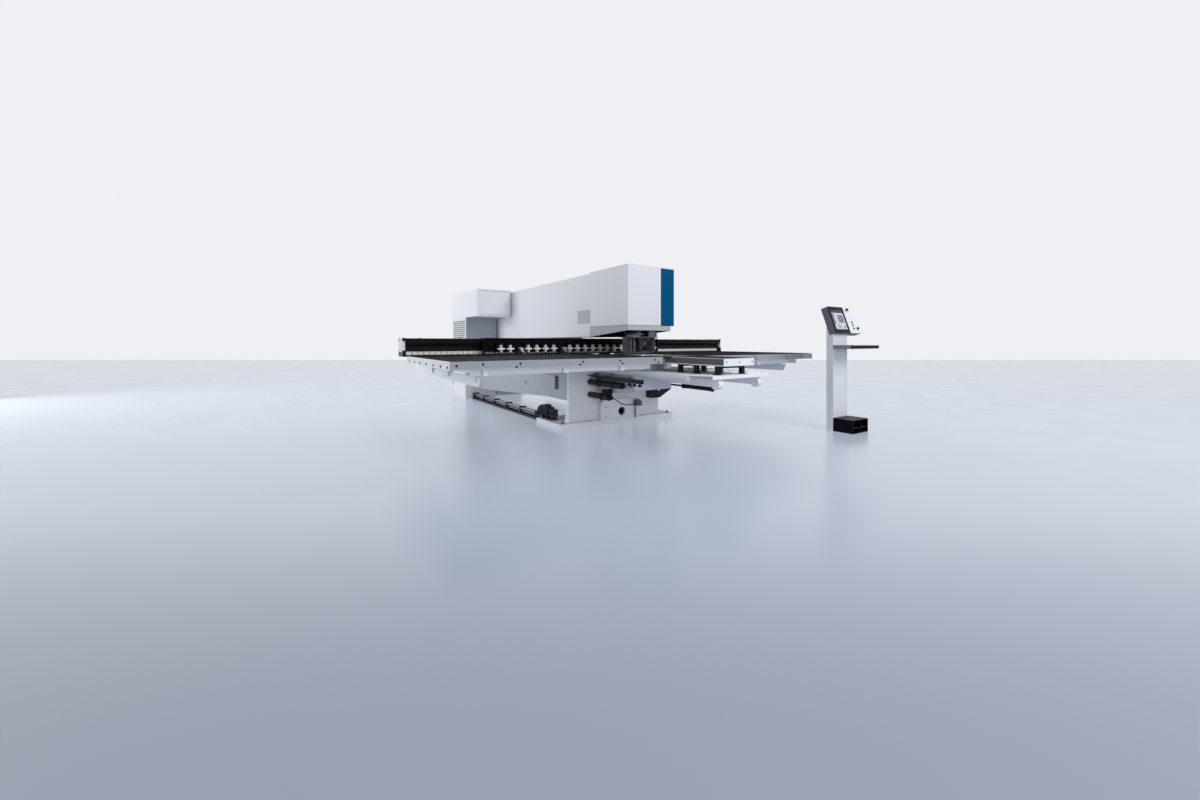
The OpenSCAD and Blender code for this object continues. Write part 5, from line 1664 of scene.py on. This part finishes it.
@dataclass
class Console(Assembly):
    """The free-standing console: leaning screen, key panel, shelf and foot switches.

    The housing's own frame has its origin at the front lower left corner, x along the
    width, y into the housing and z up the leaning front.

    Attributes:
        corner: Place of the housing's corner.
        lean: Degrees that the housing leans back.
        window: Left, low, right and high edge of the screen in the housing's frame.
        screen_y: Front of the screen there.
        panel_y: Front of the key panel there.
        stop_at: The x and z of the emergency stop.
        buttons_x: The x of the three buttons.
        buttons_z: Their heights.
        knob_at: The x and z of the override knob.
        scale_radius: Radius of the circle of marks round it.
        panel_x: The x of the panel's corner screws.
        panel_z: Their heights.
        keys_at: Place of the key block's corner.
        keys_size: Its width, depth and thickness.
        key_count: Rows of keys, and keys in a row.
        key_pitch: Distances between keys and between rows.
        shelf_x: First and last x of the shelf's palm rest.
        shelf_y: Its front and back.
        shelf_z: Its lowest and highest z.
        post_x: The x of the post's two folds.
        post_y: The post's front.
        foot_x: The x of the foot box's front screws.
        foot_y: The foot box's front.
    """

    corner: tuple[float, float, float] = (1.870, -2.352, 1.233)
    lean: float = 19.0
    window: tuple[float, float, float, float] = (0.034, 0.044, 0.306, 0.318)
    screen_y: float = -0.0063
    panel_y: float = -0.0080
    stop_at: tuple[float, float] = (0.410, 0.322)
    buttons_x: float = 0.450
    buttons_z: tuple[float, ...] = (0.066, 0.108, 0.150)
    knob_at: tuple[float, float] = (0.540, 0.066)
    scale_radius: float = 0.026
    panel_x: tuple[float, float] = (0.352, 0.588)
    panel_z: tuple[float, float] = (0.012, 0.346)
    keys_at: tuple[float, float, float] = (1.945, -2.495, 1.073)
    keys_size: tuple[float, float, float] = (0.440, 0.135, 0.004)
    key_count: tuple[int, int] = (5, 16)
    key_pitch: tuple[float, float] = (0.0265, 0.0245)
    shelf_x: tuple[float, float] = (1.870, 2.505)
    shelf_y: tuple[float, float] = (-2.562, -2.5425)
    shelf_z: tuple[float, float] = (1.0355, 1.080)
    post_x: tuple[float, float] = (1.884, 2.186)
    post_y: float = -2.3142
    foot_x: tuple[float, float] = (1.886, 2.204)
    foot_y: float = -2.5636

    NODES = {
        "console_post": Palette.CONSOLE, "console_housing": Palette.HOUSING,
        "console_bezel": Palette.BEZEL, "console_screen": Palette.SCREEN,
        "control_panel": Palette.PANEL, "emergency_stop": Palette.RED,
        "mode_knob": Palette.BUTTON, "console_shelf": Palette.SHELF,
        "foot_switch_box": Palette.FOOT_BOX, "left_pedal": Palette.RUBBER,
        "right_pedal": Palette.RUBBER,
    }

    def on_housing(self, shape: Shape) -> Shape:
        """Leans a shape back with the housing and moves it to the housing's corner."""
        return shape.turned(Axis.X, -self.lean).moved(*self.corner)

    def build(self) -> None:
        """Adds the lit page, the panel's fittings, the keys, the palm rest and the screws."""
        self.page()
        self.panel()
        self.housing()
        self.shelf()
        self.post()

    def spot(self, across: float, up: float, y: float) -> tuple[float, float, float]:
        """Returns a place on the screen by shares of the window's width and height."""
        left, low, right, high = self.window
        return left + across * (right - left), y, low + up * (high - low)

    def tile(self, x0: float, z0: float, x1: float, z1: float, lift: float = 0.0) -> Shape:
        """Returns a thin tile on the screen, by shares of the window's width and height."""
        y = self.screen_y - lift
        return self.on_housing(box(self.spot(x0, z0, y), self.spot(x1, z1, y + PAGE_STEP)))

    def page(self) -> None:
        """Adds a plain working page: header, buttons, and a blank with round holes."""
        slot = "screen_glass"
        self.add("page_ground", self.tile(0.02, 0.03, 0.98, 0.84), Palette.LIT_PAGE, slot)
        self.add("page_header", self.tile(0.02, 0.85, 0.98, 0.97), Palette.LIT_HEADER, slot)
        keys = [self.tile(0.04, 0.72 - 0.105 * i, 0.15, 0.80 - 0.105 * i, PAGE_STEP)
                for i in range(5)]
        self.add("page_buttons", sum_of(keys), Palette.LIT_DARK, slot)
        blank = self.tile(0.40, 0.36, 0.92, 0.74, PAGE_STEP)
        self.add("page_blank", blank, Palette.LIT_GREY, slot)
        spots = [(0.47, 0.46), (0.47, 0.64), (0.66, 0.55), (0.85, 0.46), (0.85, 0.64)]
        hole = lathe([(0.009, 0), (0.009, PAGE_STEP)], 20).along(Axis.Y, True)
        at = np.array([self.spot(u, v, self.screen_y - PAGE_STEP) for u, v in spots])
        self.add("page_holes", self.on_housing(hole.repeated(at)), Palette.LIT_PAGE, slot)
        rows = [self.tile(0.20, 0.10 + 0.065 * i, 0.52 + 0.08 * (i % 2), 0.12 + 0.065 * i,
                          PAGE_STEP) for i in range(3)]
        self.add("page_lines", sum_of(rows), Palette.LIT_HEADER, slot)
        state = self.tile(0.76, 0.10, 0.92, 0.20, PAGE_STEP)
        self.add("page_state", state, Palette.LIT_GREEN, slot)

    def on_panel(self, profile: list[tuple[float, float]], sides: int, places: list) -> Shape:
        """Stands turned rings on the key panel.

        Args:
            profile: Radius and height pairs of a ring.
            sides: Flats around it.
            places: The x, y and z of each ring in the housing's frame.

        Returns:
            The rings, leaning with the housing.
        """
        ring = lathe(profile, sides).along(Axis.Y, True)
        return self.on_housing(ring.repeated(np.array(places)))

    def panel(self) -> None:
        """Adds the stop's yellow ring, the buttons' collars and caps, and the knob's marks."""
        y, (stop_x, stop_z) = self.panel_y, self.stop_at
        stop = [(stop_x, y, stop_z)]
        plate = self.on_panel([(0.0275, 0), (0.0275, 0.0012), (0.0265, 0.0015)], 32, stop)
        ring = self.on_panel([(0.026, 0), (0.026, 0.0052), (0.0205, 0.0056)], 32, stop)
        self.add("stop_ring", plate + ring, Palette.YELLOW, "stop_plastic")
        profile = [(0.0165, 0), (0.0165, 0.003), (0.0145, 0.004), (0.0115, 0.004)]
        collars = self.on_panel(profile, 24, line_z(self.buttons_x, y, self.buttons_z))
        self.add("button_collars", collars, Palette.ZINC, "knob_plastic")
        seats = line_z(self.buttons_x, y - 0.0048, self.buttons_z)
        caps = self.on_panel([(0.0108, 0), (0.0108, 0.003), (0.009, 0.004)], 20, seats)
        self.add("button_caps", caps, Palette.BUTTON, "knob_plastic")
        turn, half = np.radians(np.arange(-135, 136, 27)), 0.001
        knob_x, knob_z = self.knob_at
        marks = [box((x - half, y - 0.0005, z - half), (x + half, y, z + half))
                 for x, z in zip(knob_x + self.scale_radius * np.sin(turn),
                                 knob_z + self.scale_radius * np.cos(turn))]
        self.add("knob_scale", self.on_housing(sum_of(marks)), Palette.BUTTON, "knob_plastic")
        heads = screws(grid_places(self.panel_x, [y], self.panel_z), Axis.Y, Head.PANEL, True)
        self.add("panel_screws", self.on_housing(heads), Palette.ZINC, "housing_paint")

    def housing(self) -> None:
        """Adds the screws on the housing's left side, and painted shade in the vents in its back.
        """
        sides = screws(grid_places([0.0], [0.020, 0.070], [0.05, 0.30]), Axis.X, Head.SMALL,
                       True)
        self.add("housing_screws", self.on_housing(sides), Palette.BOLT, "housing_paint")
        vent = box((0.10, 0.0868, 0.20), (0.50, 0.0874, 0.22))
        vents = vent.repeated(np.array(line_z(0.0, 0.0, 0.03 * np.arange(4))))
        # Painted shade: dark strips for the shaded insides of the vents.
        self.add("housing_vents", self.on_housing(vents), Palette.SHADOW, "housing_paint")

    def shelf(self) -> None:
        """Adds the key block in the shelf's recess, its plain keys, and the palm rest."""
        x0, y0, z0 = self.keys_at
        width, depth, thick = self.keys_size
        base = box((x0, y0, z0), (x0 + width, y0 + depth, z0 + thick))
        self.add("key_block", base, Palette.BUTTON, "black_paint")
        key = prism([(0, 0), (0.0235, 0), (0.0235, 0.021), (0, 0.021)], 0.0035)
        margin, across = 0.008, np.arange(self.key_count[1]) * self.key_pitch[0]
        rows = [key.repeated(grid_places(x0 + margin + 0.004 * (row % 2) + across,
                                         [y0 + margin + row * self.key_pitch[1]], [z0 + thick]))
                for row in range(self.key_count[0])]
        self.add("key_rows", sum_of(rows), Palette.KEY, "black_paint")
        (left, right), (front, back), (low, high) = self.shelf_x, self.shelf_y, self.shelf_z
        edge, half = 0.0005, 0.0002
        x_low, x_high = left + edge, right - edge
        rest = [box((x_low, front - half, low + 0.008), (x_high, front + half, high - 0.0085)),
                box((left - half, front + edge, low), (left + half, back, high - edge)),
                box((x_low, front + 0.0055, high - half), (x_high, back, high + 2 * half))]
        self.add("palm_rest", sum_of(rest), Palette.REST, "pedal_rubber")

    def post(self) -> None:
        """Adds painted shade along the post's two folds, and the foot box's front screws."""
        folds = [box((x - 0.0015, self.post_y - 0.0004, 0.02), (x + 0.0015, self.post_y + 0.0004,
                                                               1.02)) for x in self.post_x]
        # Painted shade: darker strips along the post's folds.
        self.add("post_folds", sum_of(folds), Palette.PLATE_AND_SHADE, "console_paint")
        places = [(x, self.foot_y, 0.15) for x in self.foot_x]
        self.add("foot_box_front_screws", screws(places, Axis.Y, Head.FOOT_BOX, True),
                 Palette.BOLT, "foot_box_paint")


ASSEMBLIES = (HeadAndArm, Cabinet, Underframe, Deck, Tables, CrossRail, Magazine, PunchingUnit,
              Console)


@dataclass(frozen=True)
class Lamp:
    """A soft square area lamp.

    Attributes:
        name: Its name.
        place: Where it hangs, in metres.
        aim: The point that it faces.
        size: Length of its side.
        power: Its power in watts.
    """

    name: str
    place: tuple[float, float, float]
    aim: tuple[float, float, float]
    size: float
    power: float

    def hang(self) -> None:
        """Adds the lamp to the stage, without a mirror image in gloss."""
        lamp = bpy.data.lights.new(self.name, "AREA")
        lamp.size, lamp.energy = self.size, self.power
        holder = bpy.data.objects.new(self.name, lamp)
        holder.location = self.place
        aim_at = Vector(self.aim) - Vector(self.place)
        holder.rotation_euler = aim_at.to_track_quat("-Z", "Y").to_euler()
        holder.visible_glossy = False
        bpy.context.scene.collection.objects.link(holder)
        holder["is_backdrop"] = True


@dataclass
class Studio:
    """The plain stage: floor, soft lights and the camera of the photograph.

    Attributes:
        camera_at: Place of the camera in metres.
        camera_yaw: Degrees that the camera looks to the right of straight back.
        lens: Focal length in millimetres.
        sensor: Width of the sensor in millimetres.
        shift: Vertical shift of the lens as a share of the sensor's width.
        sight: How far the camera sees, in metres.
        floor_ahead: How far ahead of the camera the floor meets the white wall.
        floor_side: How far the floor reaches to the other three sides.
        floor_z: Height of the floor, a hair below the feet.
        wall: Colour of the sky that the camera, glass and gloss see ahead.
        dim: Colour that gloss sees in all other directions.
        fill: Colour of the sky's soft light.
        lamps: The four lamps: front right, low front, left and overhead.
    """

    camera_at: tuple[float, float, float] = (-3.730, -5.480, 1.12)
    camera_yaw: float = 33.4
    lens: float = 13.65
    sensor: float = 36.0
    shift: float = -0.0483
    sight: float = 200.0
    floor_ahead: float = 28.3
    floor_side: float = 60.0
    floor_z: float = -0.0005
    wall: tuple[float, float, float, float] = (0.86, 0.87, 0.90, 1.0)
    dim: tuple[float, float, float, float] = (0.10, 0.10, 0.11, 1.0)
    fill: tuple[float, float, float, float] = (0.34, 0.35, 0.37, 1.0)
    lamps: tuple[Lamp, ...] = (
        Lamp("front_softbox", (2.0, -9.0, 7.0), (0.0, 0.5, 1.0), 5.0, 520.0),
        Lamp("low_softbox", (-3.5, -12.5, 2.0), (0.0, -0.5, 0.5), 3.6, 330.0),
        Lamp("left_softbox", (-9.5, 6.0, 2.4), (-0.8, 2.2, 1.0), 5.0, 580.0),
        Lamp("top_softbox", (0.5, 0.5, 9.0), (0.2, 0.5, 0.0), 8.0, 300.0),
    )

    def build(self) -> None:
        """Adds the floor, the lamps, the world and the camera."""
        self.floor()
        for lamp in self.lamps:
            lamp.hang()
        self.world()
        self.camera()
        LOG.info("Studio: floor, %d lamps, world and camera", len(self.lamps))

    def ahead(self) -> np.ndarray:
        """Returns the camera's forward direction on the floor."""
        yaw = math.radians(self.camera_yaw)
        return np.array([math.sin(yaw), math.cos(yaw)])

    def floor(self) -> None:
        """Lays a flat floor whose far edge crosses the view at the wall's distance."""
        ahead, wide = self.ahead(), self.floor_side
        side = np.array([ahead[1], -ahead[0]])
        start = np.array(self.camera_at[:2])
        reach = ((-wide, -wide), (-wide, wide), (self.floor_ahead, wide),
                 (self.floor_ahead, -wide))
        corners = np.array([start + a * ahead + b * side for a, b in reach])
        points = np.hstack([corners, np.full((4, 1), self.floor_z)])
        sheet = Shape(points, [np.array([[0, 3, 2, 1]])])
        floor = bpy.data.objects.new("floor", mesh_of("floor", sheet))
        floor.data.materials.append(Palette.FLOOR.material())
        bpy.context.scene.collection.objects.link(floor)
        floor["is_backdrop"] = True

    def world(self) -> None:
        """Sets a soft grey sky, white for the camera and for gloss that looks to the back wall.

        A glossy ray sees white by how far it runs towards the back wall: the dot product of
        the sky's direction with it, doubled, plus 0.4. So dark faces turned to the front
        mirror the dim side of the room and stay dark.
        """
        world = bpy.data.worlds.new("studio")
        bpy.context.scene.world = world
        world.use_nodes = True
        world.node_tree.nodes.clear()
        graph = Graph(world.node_tree)
        sky = graph.node("ShaderNodeTexCoord").outputs["Generated"]
        to_wall = graph.node("ShaderNodeVectorMath", {0: sky, 1: (*self.ahead(), 0.0)},
                             operation="DOT_PRODUCT").outputs["Value"]
        rays = graph.node("ShaderNodeLightPath").outputs
        share = graph.math("MULTIPLY_ADD", to_wall, 2.0, 0.4, clamp=True)
        gloss = graph.math("MULTIPLY", rays["Is Glossy Ray"], share)
        seen = graph.math("MAXIMUM", rays["Is Camera Ray"], rays["Is Transmission Ray"])
        seen = graph.math("MAXIMUM", seen, gloss)
        dark = graph.mix(rays["Is Glossy Ray"], self.fill, self.dim)
        tone = graph.mix(seen, dark, self.wall)
        shade = graph.node("ShaderNodeBackground", {"Color": tone, "Strength": 1.0})
        graph.node("ShaderNodeOutputWorld", {"Surface": shade.outputs[0]})

    def camera(self) -> None:
        """Sets the camera by the photograph's two vanishing points."""
        data = bpy.data.cameras.new("camera")
        data.lens, data.sensor_width, data.shift_y = self.lens, self.sensor, self.shift
        data.clip_end = self.sight
        holder = bpy.data.objects.new("camera", data)
        holder.location = self.camera_at
        holder.rotation_euler = (math.radians(90), 0.0, math.radians(-self.camera_yaw))
        bpy.context.scene.collection.objects.link(holder)
        bpy.context.scene.camera = holder


def sizes() -> list[list[float]]:
    """Returns the object's lowest and highest corner as plain lists."""
    return [[float(v) for v in corner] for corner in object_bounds()]


def main() -> None:
    """Dresses the whole machine and its console, piece by piece."""
    logging.basicConfig(level=logging.INFO, format="%(name)s: %(message)s")
    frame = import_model()
    dust_group()
    surface_group(Grain.PEEL, tone_scale=1.7, stretch=(1, 1, 1), grain_scale=420.0)
    surface_group(Grain.BRUSHED, tone_scale=6.0, stretch=(1, 14, 14), grain_scale=30.0)
    surface_group(Grain.MOULDED, tone_scale=9.0, stretch=(1, 1, 1), grain_scale=800.0)
    for kind in ASSEMBLIES:
        assembly = kind(frame)
        assembly.dress()
        assembly.build()
    Studio().build()
    bpy.context.scene.view_settings.view_transform = "Standard"


if __name__ == "__main__":
    main()
